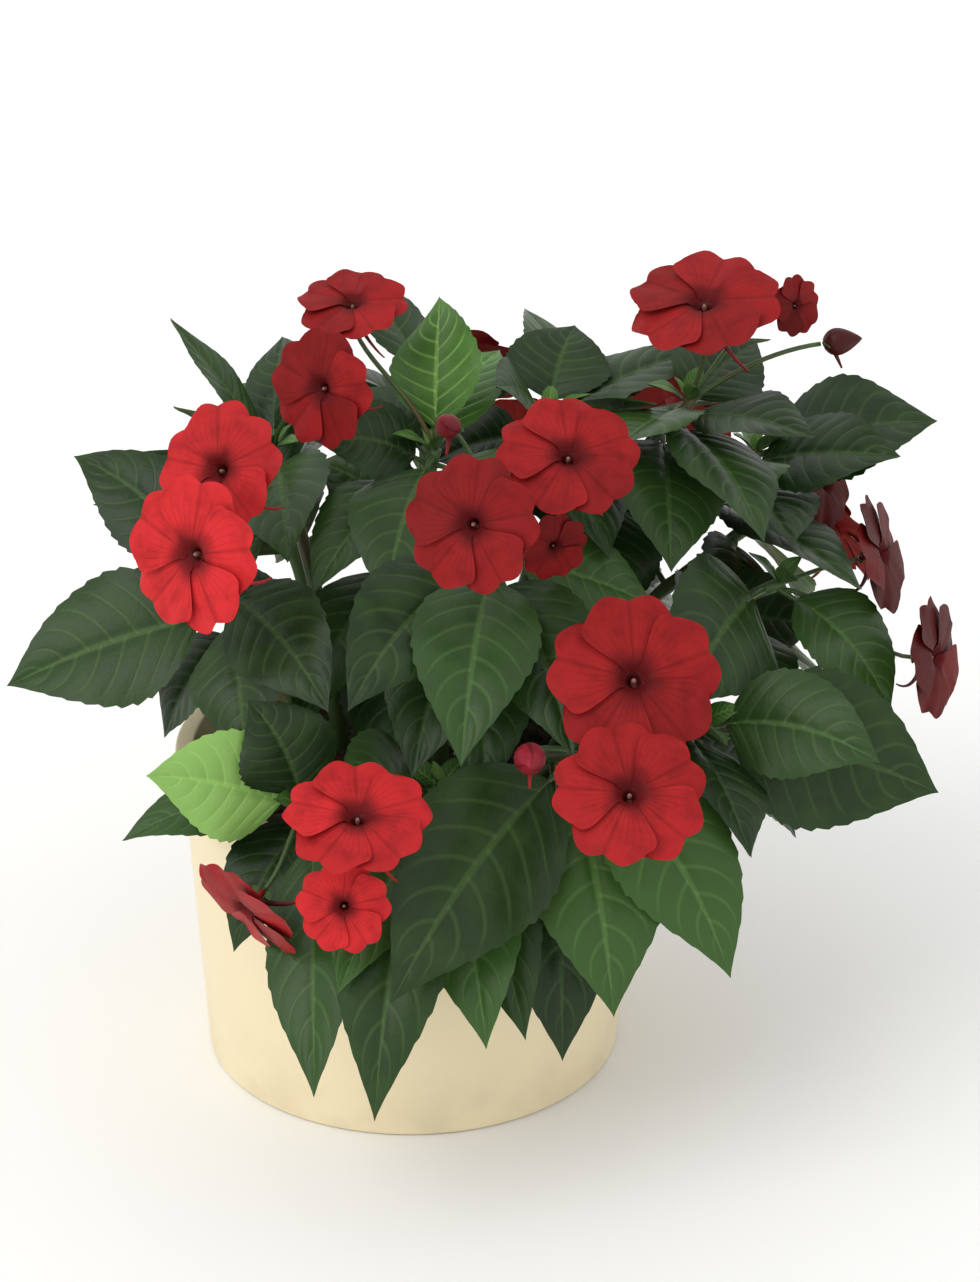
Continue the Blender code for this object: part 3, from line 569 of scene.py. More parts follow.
def filler_leaves(shoot):
    """More leaves down a shoot by the golden angle, drawn round toward the side it faces."""
    draw = random.Random(shoot.name)
    found = []
    highest = 0.80 if shoot.leaves else 0.97
    for k in range(shoot.fillers):
        share = k / max(shoot.fillers - 1, 1)
        at = highest - (highest - 0.42) * share
        length = 56 + 16 * share + draw.uniform(-4, 4)
        lift = 26 - 42 * share + draw.uniform(-8, 8)
        round_stem = (GOLDEN_ANGLE * k + 180) % 360 - 180
        aim = facing(shoot.phase + TO_LIGHT * round_stem + draw.uniform(-12, 12), lift)
        base = curve_point(stem_curve(shoot), at)
        found.append(Leaf(at, tuple(base + aim * length), length / LEAF_SLIMNESS))
    return found


def growth():
    """Every leaf of the plant, by shoot, bent clear of all that stands before it."""
    crowd = Crowd()
    for shoot in SHOOTS:
        crowd.add(shoot.name, tube(stem_path(shoot, 6), stem_radii(6), 6))
    for bloom in BLOOMS:
        crowd.add(bloom.shoot, tube(bloom_stalk(bloom), [PEDICEL_RADIUS] * 4, 4))
        for number in range(PETALS):
            crowd.add("petal", petal_mesh(Petal(bloom, number)))
        aim = facing(bloom.azimuth, bloom.elevation)
        crowd.add("spur", tube(spur_path(bloom), [SPUR_RADIUS + 0.4] * 4, 4))
        back = bloom_back(bloom)
        crowd.add("funnel", tube([back, back + aim * FUNNEL_DEPTH], [1, 0.12 * bloom.radius], 5))
        view = (aim + facing(0, 25)).normalized()
        crowd.open.append((Vector(bloom.centre), view, bloom.radius * OPEN_SHARE))
    for bud in BUDS:
        crowd.add(bud.shoot, tube(bud_stalk(bud), [PEDICEL_RADIUS] * 4, 4))
        crowd.add("bud", bud_mesh(bud))
    top = SOIL_TOP + SOIL_CROWN
    rim = RIM_RADIUS + RIM_PROUD
    crowd.add("soil", tube([Vector((0, 0, 60)), Vector((0, 0, top))], [64, 62], 24))
    crowd.add("pot", tube([Vector((0, 0, 0)), Vector((0, 0, POT_HEIGHT))], [BASE_RADIUS, rim], 24))
    tries = bends()
    grown = {shoot.name: [] for shoot in SHOOTS}
    for filling in (False, True):
        for shoot in SHOOTS:
            leaves = filler_leaves(shoot) if filling else shoot.leaves
            most = MOST_TRIES if filling else KEY_TRIES
            for leaf in leaves:
                base = curve_point(stem_curve(shoot), leaf.at)
                blade = placed(crowd, shoot.name, base, leaf, tries[:most], filling)
                if blade:
                    grown[shoot.name].append(blade)
    return grown


def petal_mesh(petal):
    """One petal split into triangles alike on both faces, open where it meets the throat.

    Its first four points are the claw: the left corner, the one below it, then the right.
    """
    spine = ((0.5, 0), (PETAL_NOTCH, 0))
    verts = []
    for side in (1, -1):
        r, a = PETAL_EDGE[0]
        verts += [petal.point(r, a * side), petal.point(r, a * side, PETAL_THICK)]
    for r, a in spine:
        verts += [petal.point(r, a), petal.point(r, a, PETAL_THICK)]
    for side in (1, -1):
        for r, a in PETAL_EDGE[1:]:
            verts += [petal.point(r, a * side), petal.point(r, a * side, PETAL_THICK)]
    left = (0, 8, 10, 12)
    right = (2, 14, 16, 18)
    top = [(0, 2, 4)]
    for edge in (left, right):
        half = [(edge[0], 4, edge[1]), (edge[1], 4, edge[2])]
        half += [(4, 6, edge[2]), (edge[2], 6, edge[3])]
        top += half if edge is left else [face[::-1] for face in half]
    faces = []
    for face in top:
        faces += [face, tuple(i + 1 for i in reversed(face))]
    rim = right + (6,) + left[::-1]
    for a, b in zip(rim, rim[1:]):
        faces += [(a, b + 1, b), (a, a + 1, b + 1)]
    return verts, faces


# How finely each piece is cut
LEAF_ACROSS = 20
LEAF_ALONG = 48
TUFT_ACROSS = 8
TUFT_ALONG = 16
PETAL_ACROSS = 14
PETAL_ALONG = 14
STEM_RINGS = 28
STEM_ROUND = 12
STALK_RINGS = 14
STALK_ROUND = 8
POT_ROUND = 112
SOIL_ROUND = 96
SOIL_RINGS = 44

# Painted light and shade on the petals of each bloom and bud, partly a natural spread of their red;
# the rest take the middle value
PAINTED_SUNLIGHT = {
    "left_low": 1.0,
    "left_high": 0.8,
    "top_left_side": 0.35,
    "front_left_high": 0.8,
    "front_left_low": 0.85,
    "front_left_side": 0.5,
    "main_low": 0.45,
    "centre_left": 0.3,
    "centre_low": 0.2,
    "top_right": 0.3,
    "top_right_small": 0.15,
    "right_high": 0.0,
    "right_hidden": 0.0,
    "far_right": 0.05,
    "bud_front": 0.9,
    "bud_top_right": 0.0,
}
MIDDLE_PAINTED_LIGHT = 0.4

# The leaf's veins and teeth. A leaf has them at full depth from this length on.
FULL_LEAF = 60
FULL_STALK = 45
SKIN_DEPTH = 0.1
VEINS = 8
TEETH = 12
TOOTH_PEAK = 0.75
TOOTH_LEVEL = 0.45
KEEL_WIDTH = 0.9
VEIN_SLANT = 0.10
VEIN_SWEEP = 0.14
MIDRIB_WIDTH = 1.0
VEIN_WIDTH = 1.3

# The stalks, the swellings at a stem's joints and the new leaves at its tip
STALK_STEPS = 8
STALK_INTO_BLADE = 1.35
STEM_SLIMMER = 0.92
JOINT_SWELL = 0.45
JOINT_LENGTH = 2.6
TUFT_LEAVES = 4
TUFT_LENGTH = 9
TUFT_LONGER = 2.2
TUFT_WIDTH = 0.46
TUFT_RISE = 58
TUFT_DROOP = 9

# A petal's outline: its notch lies between two lobes, this far off its midline
LOBE = 0.45
SHOULDER = 0.24
CLAW_HALF = 0.07
BLADE_HALF = 0.52
END_NARROWING = 0.09

# The funnel: a fixed radius, a share of the bloom's radius, and a share of the depth
FUNNEL = (
    (0, 0, 0.75), (0.6, 0, 0.73), (0, 0.045, 0.57), (0, 0.075, 0.28),
    (0, 0.115, 0.08), (0, 0.155, 0), (0, 0.165, 0.054), (0, 0.125, 0.19),
    (0, 0.09, 0.42), (0, 0.06, 0.71), (0.9, 0, 1), (0, 0, 1),
)
FUNNEL_ROUND = 16
MOUTH_DEPTH = 1.3

# The column in the throat of a bloom of the usual size: radius and height
USUAL_BLOOM = 22
COLUMN = (
    (0, -4.6), (0.35, -4.4), (0.525, -3.2), (0.7, -2.2), (0.665, -1.4), (0.385, -0.85), (0, -0.7),
)
COLUMN_ROUND = 10
SPUR_STEPS = 14
SPUR_START = 1.35
SPUR_NARROWING = 1.05

# Sepals and buds
SEPAL_LENGTH = 5.5
SEPAL_WIDTH = 0.5
SEPAL_ACROSS = 6
SEPAL_ALONG = 8
SEPAL_TONE = (0.4, 0.5)
BUD_SEPAL_LENGTH = 4
BUD_ROUND = 18
BUD_ROWS = 16
BUD_FATNESS = 0.40
BUD_SPUR_STEPS = 10
BUD_SPUR_NARROWING = 0.07

# The order of the materials on a shoot, and on a bloom or a bud
UPPER_SLOT, UNDER_SLOT, STEM_SLOT = range(3)
PETAL_SLOT, BACK_SLOT, THROAT_SLOT, COLUMN_SLOT, SEPAL_SLOT = range(5)

# The pot's and the soil's small parts
WALL_SLOPE = (RIM_RADIUS - BASE_RADIUS) / POT_HEIGHT
RIM_TAPER = 0.4
POT_CORNER = 25
LUMP_SCALE = 0.09
LUMP_HEIGHT = 2.2
CLOD_SCALE = 0.55
CLOD_HEIGHT = 0.8
SOIL_DIP = 0.8
CRUMB_SIZES = (0.6, 1.9)
GRIT_SIZES = (0.5, 1.1)
CRUMB_MARGIN = 3
SOIL_SEED = 11

# The camera, in metres, and the main light
CAMERA_AIM = Vector((0.024, 0, 0.1335))
CAMERA_DISTANCE = 1.1
CAMERA_ELEVATION = 25
CAMERA_LENS = 103
CAMERA_SENSOR = 36
KEY_AZIMUTH = -48
KEY_ELEVATION = 45
KEY_SPREAD = 40
KEY_TINT = (1, 0.985, 0.96)
FLOOR_SIZE = 4
FLOOR_DROP = 0.0003


def colour(name, description, value):
    """A setting that holds a colour."""
    return FloatVectorProperty(
        name=name, description=description, default=value, size=3, min=0, max=1, subtype="COLOR"
    )


def length(name, description, value):
    """A setting in metres."""
    return FloatProperty(name=name, description=description, default=value, min=0, unit="LENGTH")


def share(name, description, value):
    """A setting from 0 to 1."""
    return FloatProperty(
        name=name, description=description, default=value, min=0, max=1, subtype="FACTOR"
    )


class PotLook(PropertyGroup):
    plastic: colour("Plastic", "Colour of the pot", (0.86, 0.74, 0.49))
    roughness: share("Roughness", "How matt the pot's wall is", 0.42)
    edge: length("Edge", "Rounding of the rim's and the base's edges", 0.0007)


class SoilLook(PropertyGroup):
    peat: colour("Peat", "Colour of the dry crumbs", (0.070, 0.045, 0.028))
    # The colour of the painted shade in the soil's hollows
    shaded: colour("Hollow shade", "Colour of the damp hollows", (0.020, 0.012, 0.008))
    crumbs: IntProperty(name="Crumbs", description="Loose crumbs on the soil", default=320, min=0)
    grit: IntProperty(name="Grit", description="Pale grains on the soil", default=36, min=0)


class LeafLook(PropertyGroup):
    green: colour("Green", "Colour of a grown leaf", (0.019, 0.046, 0.009))
    deep: colour("Deep green", "Colour of the darkest patches", (0.010, 0.027, 0.006))
    fresh: colour("Fresh green", "Colour of a young leaf", (0.075, 0.190, 0.032))
    pale: colour("Pale green", "Colour of the youngest leaf", (0.25, 0.46, 0.11))
    vein: colour("Vein", "Colour of the veins", (0.052, 0.105, 0.026))
    under: colour("Underside", "Colour of the lower face", (0.058, 0.105, 0.034))
    stem: colour("Stem", "Colour of the stems", (0.055, 0.105, 0.028))
    flush: colour("Flush", "Reddish colour on the stems", (0.12, 0.050, 0.025))
    thickness: length("Thickness", "Thickness of a blade", 0.00045)
    quilt: length("Quilting", "Depth of the veins in the upper face", 0.0003)
    tooth: share("Teeth", "Depth of the teeth, as a share of the half width", 0.045)
    keel: length("Keel", "Height of the midrib below the blade", 0.0011)


class FlowerLook(PropertyGroup):
    # Petal is the colour of fully lit petals and shade that of petals in the deepest painted shade;
    # darker still, shade also colours the veins. Bud is the colour of a fully lit bud
    petal: colour("Petal", "Colour of the brightest petals", (0.63, 0.026, 0.030))
    shade: colour("Shade", "Colour of the darkest petals", (0.080, 0.005, 0.004))
    eye: colour("Eye", "Colour round the throat", (0.075, 0.004, 0.005))
    back: colour("Back", "Colour of the petals' backs", (0.50, 0.055, 0.045))
    column: colour("Column", "Colour of the small column in the throat", (0.36, 0.16, 0.12))
    bud: colour("Bud", "Colour of the brightest buds", (0.28, 0.014, 0.028))
    thickness: length("Thickness", "Thickness of a petal", 0.00035)
    ruffle: share("Ruffle", "Waves of a petal's rim, as a share of the radius", 0.022)


class StageLook(PropertyGroup):
    floor: colour("Floor", "Colour of the floor", (0.93, 0.93, 0.92))
    sky: FloatProperty(name="Sky", description="Strength of the even light", default=0.96, min=0)
    key: FloatProperty(name="Key", description="Strength of the main light", default=0.92, min=0)


def tinted(base, much):
    """A colour this much brighter, or darker."""
    return tuple(min(much * c, 1) for c in base)


class Socket:
    """A value in a material's nodes. Arithmetic with it adds Math nodes."""

    def __init__(self, paint, socket):
        self.paint = paint
        self.socket = socket

    def maths(self, operation, *values):
        return self.paint.node("Math", {"operation": operation}, dict(enumerate(values)))

    def __add__(self, other):
        return self.maths("ADD", self, other)

    def __sub__(self, other):
        return self.maths("SUBTRACT", self, other)

    def __rsub__(self, other):
        return self.maths("SUBTRACT", other, self)

    def __mul__(self, other):
        return self.maths("MULTIPLY", self, other)

    def __pow__(self, other):
        return self.maths("POWER", self, other)

    def __rpow__(self, other):
        return self.maths("POWER", other, self)

    def __abs__(self):
        return self.maths("ABSOLUTE", self)

    __radd__ = __add__
    __rmul__ = __mul__


class Paint:
    """A material and the nodes behind its Principled shader."""

    def __init__(self, name, **constants):
        self.material = bpy.data.materials.new(name)
        self.material.use_nodes = True
        self.tree = self.material.node_tree
        self.shader = self.tree.nodes["Principled BSDF"]
        self.set(**constants)

    def node(self, kind, settings=None, sockets=None, out=0):
        """Adds a node: its settings first, then the values or links of its sockets."""
        node = self.tree.nodes.new("ShaderNode" + kind)
        for name, value in (settings or {}).items():
            setattr(node, name, value)
        for key, value in (sockets or {}).items():
            self.put(node.inputs[key], value)
        return Socket(self, node.outputs[out])

    def put(self, socket, value):
        if isinstance(value, Socket):
            self.tree.links.new(value.socket, socket)
        elif hasattr(value, "__len__") and len(value) == 3 and socket.type == "RGBA":
            socket.default_value = (*value, 1)
        else:
            socket.default_value = value

    def set(self, **sockets):
        """Sets the shader's own sockets; an underscore stands for a space."""
        for name, value in sockets.items():
            self.put(self.shader.inputs[name.replace("_", " ")], value)

    def place(self):
        return self.node("TexCoord", out="Object")

    def uv(self, name):
        """The two values of a UV map."""
        both = self.node("UVMap", {"uv_map": name})
        return tuple(self.node("SeparateXYZ", None, {0: both}, k) for k in (0, 1))

    def noise(self, scale, detail=3, roughness=0.55):
        sockets = {"Vector": self.place(), "Scale": scale, "Detail": detail, "Roughness": roughness}
        return self.node("TexNoise", None, sockets)

    def cells(self, scale):
        """How far this point is from the edge of its cell."""
        sockets = {"Vector": self.place(), "Scale": scale}
        return self.node("TexVoronoi", {"feature": "DISTANCE_TO_EDGE"}, sockets)

    def mix(self, factor, a, b):
        return self.node("Mix", {"data_type": "RGBA"}, {0: factor, 6: a, 7: b}, 2)

    def smooth(self, value, low, high):
        """From 0 at low to 1 at high, eased at both ends."""
        sockets = {"Value": value, "From Min": low, "From Max": high}
        return self.node("MapRange", {"interpolation_type": "SMOOTHSTEP"}, sockets)

    def fraction(self, value):
        return self.node("Math", {"operation": "FRACT"}, {0: value})

    def matt(self, least, spread, scale=500):
        """A roughness that varies a little over the surface."""
        self.set(Roughness=self.noise(scale, 2) * spread + least)

    def bump(self, height, strength, depth):
        sockets = {"Height": height, "Strength": strength, "Distance": depth}
        self.set(Normal=self.node("Bump", None, sockets))


def leaf_veins(paint):
    """Masks of a leaf's midrib and side veins, from its Skin map."""
    across, along = paint.uv("Skin")
    v = across * 2 - 1
    out = abs(v)
    right = paint.node("Math", {"operation": "GREATER_THAN"}, {0: v, 1: 0.0})
    phase = (along - out * VEIN_SLANT - out * out * VEIN_SWEEP) * VEINS + right * 0.5
    away = abs(paint.fraction(phase) - 0.5)
    side = paint.smooth(away, 0.13, 0.02) * paint.smooth(out, 1.0, 0.6)
    side = side * paint.smooth(along, 0.98, 0.8)
    middle = paint.smooth(out, 0.075, 0.02)
    return middle, side


def leaf_paint(look):
    """The upper face: dark satin green, lighter along the veins, fresher on young leaves."""
    paint = Paint("leaf_upper", Specular_IOR_Level=0.26)
    middle, side = leaf_veins(paint)
    young, shade = paint.uv("Tone")
    patches = paint.noise(90, 4)
    grown = paint.mix(paint.smooth(patches, 0.35, 0.68), look.deep, look.green)
    light = shade**3 * 0.9
    lighter = paint.mix(light, grown, tinted(look.green, 2.4))
    vein = paint.mix(light, look.vein, tinted(look.vein, 2.2))
    veined = paint.mix(side * 0.35 + middle * 0.6, lighter, vein)
    fresh = paint.mix(paint.smooth(patches, 0.3, 0.7), tinted(look.fresh, 0.7), look.fresh)
    fresh = paint.mix(paint.smooth(young, 0.6, 1.0), fresh, look.pale)
    fresh = paint.mix(side * 0.3 + middle * 0.4, fresh, tinted(look.pale, 1.4))
    paint.set(Base_Color=paint.mix(paint.smooth(young, 0.0, 0.5), veined, fresh))
    paint.set(Roughness=patches * 0.16 + 0.28 + middle * 0.12)
    net = paint.smooth(paint.cells(420), 0.0, 0.2)
    grain = paint.noise(1400, 2)
    paint.bump(net * 0.16 + grain * 0.3 - side * 0.6 - middle * 0.6, 0.4, 0.0003)
    return paint.material


def under_paint(look):
    """The lower face: paler and matt, with the veins standing out."""
    paint = Paint("leaf_under", Specular_IOR_Level=0.3)
    middle, side = leaf_veins(paint)
    young, _ = paint.uv("Tone")
    patches = paint.smooth(paint.noise(110, 3), 0.35, 0.7)
    base = paint.mix(patches, tinted(look.under, 0.8), look.under)
    base = paint.mix(side * 0.4 + middle * 0.6, base, tinted(look.under, 1.35))
    paint.set(Base_Color=paint.mix(young * 0.7, base, look.fresh))
    paint.matt(0.5, 0.15, 300)
    paint.bump(side + middle + paint.noise(1500, 2) * 0.3, 0.5, 0.0003)
    return paint.material


def stem_paint(look):
    """Fleshy stems and stalks: pale green, flushed red in patches, with fine streaks."""
    paint = Paint("stem", Specular_IOR_Level=0.45, Subsurface_Weight=0.08, Subsurface_Scale=0.001)
    flush = paint.smooth(paint.noise(42, 3), 0.46, 0.66)
    base = paint.mix(paint.noise(160, 2), tinted(look.stem, 0.72), tinted(look.stem, 1.25))
    paint.set(Base_Color=paint.mix(flush * 0.6, base, look.flush))
    paint.matt(0.32, 0.15, 220)
    paint.bump(paint.noise(700, 3), 0.3, 0.0003)
    return paint.material


def petal_paint(look):
    """A petal's face: velvety red, darker down its veins and round the eye."""
    paint = Paint("petal_face", Specular_IOR_Level=0.09)
    across, along = paint.uv("Skin")
    _, shade = paint.uv("Tone")
    q = across * 2 - 1
    ribs = abs(paint.fraction(q * 5.5 + 0.5) - 0.5)
    veins = paint.smooth(ribs, 0.10, 0.01) * paint.smooth(along, 1.0, 0.25)
    folds = paint.smooth(paint.noise(170, 4), 0.38, 0.72)
    # Painted light and shade: each bloom's petals run from the lit petal colour to the shade colour
    base = paint.mix(shade, look.petal, look.shade)
    dark = tinted(look.shade, 0.62)
    base = paint.mix(folds * 0.30 + veins * 0.30, base, dark)
    base = paint.mix(paint.smooth(abs(q), 0.10, 0.0) * 0.25, base, dark)
    base = paint.mix(paint.smooth(along, 0.36, 0.04) * 0.85, base, look.eye)
    paint.set(Base_Color=base)
    paint.matt(0.42, 0.16)
    paint.bump(paint.noise(2600, 2) * 0.5 - veins * 0.6 + folds * 0.5, 0.4, 0.00025)
    return paint.material


def petal_back_paint(look):
    """A petal's back: paler and duller, with a light midline."""
    paint = Paint("petal_back", Specular_IOR_Level=0.02)
    across, _ = paint.uv("Skin")
    _, shade = paint.uv("Tone")
    line = paint.smooth(abs(across * 2 - 1), 0.14, 0.02)
    folds = paint.smooth(paint.noise(170, 4), 0.38, 0.72)
    base = paint.mix(folds * 0.4, look.back, look.petal)
    base = paint.mix(line * 0.35, base, tinted(look.back, 1.4))
    # The bloom's painted shade darkens the back as well
    paint.set(Base_Color=paint.mix(shade * 0.95, base, look.shade))
    paint.matt(0.6, 0.15)
    paint.bump(paint.noise(1800, 2) * 0.6 + line, 0.35, 0.00025)
    return paint.material


def throat_paint(look):
    """The funnel and the spur: deep red at the throat, paler down the spur."""
    paint = Paint("throat", Specular_IOR_Level=0.25)
    _, along = paint.uv("Skin")
    _, shade = paint.uv("Tone")
    # The spur takes its bloom's painted light and shade
    spur = paint.mix(shade, tinted(look.petal, 0.8), look.shade)
    base = paint.mix(paint.smooth(along, 0.25, 0.75), look.eye, spur)
    paint.set(Base_Color=paint.mix(paint.noise(400, 2) * 0.4, base, look.shade))
    paint.matt(0.45, 0.1)
    paint.bump(paint.noise(1500, 2), 0.25, 0.0002)
    return paint.material


def bud_paint(look):
    """A bud: deep red, with painted shade in the folds where the petals overlap."""
    paint = Paint("bud", Specular_IOR_Level=0.25)
    across, along = paint.uv("Skin")
    _, shade = paint.uv("Tone")
    # Painted shade: the grooves where the petals overlap are darkened toward the eye colour
    folds = paint.smooth(abs(paint.fraction(across * 3 + along * 0.5) - 0.5), 0.12, 0.0)
    base = paint.mix(paint.smooth(paint.noise(260, 3), 0.35, 0.7), look.bud, tinted(look.bud, 1.35))
    # The bud's painted light and shade, from its bright bud colour toward a darker red
    base = paint.mix(shade, base, tinted(look.shade, 0.6))
    paint.set(Base_Color=paint.mix(folds * 0.7, base, look.eye))
    paint.matt(0.4, 0.12)
    paint.bump(paint.noise(1400, 2) * 0.4 - folds, 0.4, 0.0003)
    return paint.material


def speckled_paint(name, first, second, grains, matt, bump, specular):
    """Two colours in grains of one size: their scale and detail, the least roughness and
    its spread, the strength and depth of the bump, and the shine."""
    paint = Paint(name, Specular_IOR_Level=specular)
    speckle = paint.noise(*grains)
    least, spread = matt
    paint.set(Base_Color=paint.mix(speckle, first, second), Roughness=speckle * spread + least)
    paint.bump(speckle, *bump)
    return paint.material


def column_paint(look):
    darker = tinted(look.column, 0.6)
    sizes = (2200, 2), (0.5, 0.2), (0.4, 0.0002)
    return speckled_paint("column", look.column, darker, *sizes, 0.4)


def sepal_paint(look):
    """The small sepals: the stem's green, with a fresher one in patches."""
    fresher = tinted(look.fresh, 0.55)
    sizes = (400, 3), (0.4, 0.15), (0.3, 0.0002)
    return speckled_paint("sepal", look.stem, fresher, *sizes, 0.35)


def grit_paint():
    sizes = (1300, 3), (0.7, 0.2), (0.7, 0.0004)
    return speckled_paint("grit", (0.68, 0.65, 0.58), (0.42, 0.38, 0.31), *sizes, 0.3)


def pot_paint(look):
    """Moulded plastic: a faint skin texture, fine scuffs and darker brownish patches low on the
    wall.
    """
    paint = Paint("pot_plastic", Specular_IOR_Level=0.5)
    height = paint.node("SeparateXYZ", None, {0: paint.place()}, 2)
    clouds = paint.noise(14, 3)
    skin = paint.noise(1600, 2)
    scuffs = paint.smooth(paint.noise(75, 5, 0.7), 0.62, 0.75)
    # Darker brownish patches on the lowest 30 mm of the wall
    darker_low = paint.smooth(height, 0.03, 0.0) * paint.smooth(paint.noise(60, 4), 0.35, 0.7)
    base = paint.mix(clouds * 0.35, look.plastic, tinted(look.plastic, 0.93))
    base = paint.mix(scuffs * 0.10, base, (0.62, 0.52, 0.38))
    paint.set(Base_Color=paint.mix(darker_low * 0.22, base, (0.42, 0.33, 0.23)))
    paint.set(Roughness=clouds * 0.08 + (look.roughness - 0.04) + scuffs * 0.12)
    paint.bump(skin * 0.6 + scuffs * 0.5, 0.22, 0.0002)
    return paint.material


def soil_paint(look):
    """Peat with painted shade in the hollows of its bump, and fibres and crumbs."""
    paint = Paint("potting_soil", Specular_IOR_Level=0.2)
    lumps = paint.noise(190, 5, 0.65)
    fine = paint.noise(1100, 4, 0.7)
    # Painted shade: the colour darkens to the shaded colour where the bump's lumps are low
    base = paint.mix(paint.smooth(lumps, 0.38, 0.68), look.shaded, look.peat)
    base = paint.mix(paint.smooth(fine, 0.6, 0.78) * 0.6, base, (0.17, 0.115, 0.07))
    paint.set(Base_Color=base)
    paint.set(Roughness=fine * 0.25 + 0.7)
    paint.bump(lumps + fine * 0.5, 0.9, 0.0012)
    return paint.material


def made(name, mesh):
    """Turns a finished bmesh into mesh data."""
    data = bpy.data.meshes.new(name)
    mesh.to_mesh(data)
    mesh.free()
    return data


def added(name, data):
    """Puts an object with this data in the scene."""
    thing = bpy.data.objects.new(name, data)
    bpy.context.scene.collection.objects.link(thing)
    return thing


class Form:
    """A piece under construction: sheets of faces laid in millimetres."""

    def __init__(self):
        self.mesh = bmesh.new()
        self.skin = self.mesh.loops.layers.uv.new("Skin")
        # On blooms and buds the Tone map's second value carries their painted light and shade; on
        # leaves it is a random tone
        self.tone = self.mesh.loops.layers.uv.new("Tone")

    def sheet(self, across, along, place, slot, tone=(0, 0)):
        """A grid of faces, each corner laid by place(x, y), where x and y run from 0 to 1."""
        grid = bmesh.ops.create_grid(self.mesh, x_segments=across, y_segments=along, size=0.5)
        spots = {vert: (vert.co.x + 0.5, vert.co.y + 0.5) for vert in grid["verts"]}
        for vert, (x, y) in spots.items():
            vert.co = place(x, y) * MM
        for face in {face for vert in spots for face in vert.link_faces}:
            face.smooth = True
            face.material_index = slot
            for loop in face.loops:
                loop[self.skin].uv = spots[loop.vert]
                loop[self.tone].uv = tone

    def stalk(self, points, radii, sides, slot, tone=(0, 0)):
        """A round stalk along the points, closed at both ends."""
        ahead = [
            (points[min(i + 1, len(points) - 1)] - points[max(i - 1, 0)]).normalized()
            for i in range(len(points))
        ]
        sides_at = []
        side = Vector((1, 0, 0)) if abs(ahead[0].x) < 0.9 else Vector((0, 1, 0))
        for way in ahead:
            side = (side - way * way.dot(side)).normalized()
            sides_at.append(side)
        rings = [0, *range(len(points)), len(points) - 1]

        def place(x, y):
            row = round(y * (len(rings) - 1))
            i = rings[row]
            radius = 0 if row in (0, len(rings) - 1) else radii[i]
            a = math.tau * x
            out = sides_at[i] * math.cos(a) + ahead[i].cross(sides_at[i]) * math.sin(a)
            return points[i] + out * radius

        self.sheet(sides, len(rings) - 1, place, slot, tone)

    def finish(self, name, slot, materials, *nodes):
        """Closes the seams and makes the object that stands for these nodes."""
        mesh = self.mesh
        bmesh.ops.remove_doubles(mesh, verts=mesh.verts, dist=5e-6)
        bmesh.ops.dissolve_degenerate(mesh, edges=mesh.edges, dist=1e-7)
        bmesh.ops.recalc_face_normals(mesh, faces=mesh.faces)
        for edge in mesh.edges:
            edge.smooth = len({face.material_index for face in edge.link_faces}) < 2
        piece = added(name, made(name, mesh))
        for material in materials:
            piece.data.materials.append(material)
        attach(piece, "root")
        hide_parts(*nodes)
        return piece


def eased(value, low, high):
    """From 0 at low to 1 at high, eased at both ends; low may be the larger."""
    t = min(max((value - low) / (high - low), 0), 1)
    return t * t * (3 - 2 * t)


def bell(distance, width):
    """1 at no distance, falling off smoothly over this width."""
    return math.exp(-((distance / width) ** 2))


class LeafSkin:
    """The two faces of a leaf, with its teeth, sunken veins and keel."""

    def __init__(self, blade, look):
        self.blade = blade
        self.thick = look.thickness / MM
        grown = min(blade.length / FULL_LEAF, 1)
        self.quilt = look.quilt / MM * grown
        self.keel = look.keel / MM * grown
        self.tooth = look.tooth

    def rim(self, s, v):
        """How far a tooth pushes this point out, as a share of the half width."""
        step = (s * TEETH) % 1
        tooth = step / TOOTH_PEAK if step < TOOTH_PEAK else (1 - step) / (1 - TOOTH_PEAK)
        fade = eased(s, 0.04, 0.2) * eased(s, 1.0, 0.86)
        return self.tooth * (tooth - TOOTH_LEVEL) * fade * v**4

    def sunk(self, s, v):
        """How deep the veins press into the upper face here, in millimetres."""
        out = abs(v)
        phase = (s - VEIN_SLANT * out - VEIN_SWEEP * v * v) * VEINS + (0.5 if v > 0 else 0)
        away = abs(phase % 1 - 0.5) / VEINS * self.blade.length
        fade = eased(out, 1.0, 0.75) * eased(s, 1.0, 0.85)
        side = bell(away, VEIN_WIDTH) * fade
        middle = bell(v * self.blade.half_width(s), MIDRIB_WIDTH) * eased(s, 1.0, 0.9)
        return self.quilt * (side + 1.3 * middle - 0.5)

    def face(self, below):
        """Lays the upper face, or the lower one."""

        def place(x, s):
            v = 2 * x - 1
            sink = SKIN_DEPTH + self.sunk(s, v)
            if below and 0 < s < 1:
                ridge = bell(v * self.blade.half_width(s), KEEL_WIDTH) * (1 - 0.85 * s)
                sink += self.thick * (1 - v**8) + self.keel * ridge * (1 - v * v)
            return self.blade.point(s, v * (1 + self.rim(s, v)), sink)

        return place


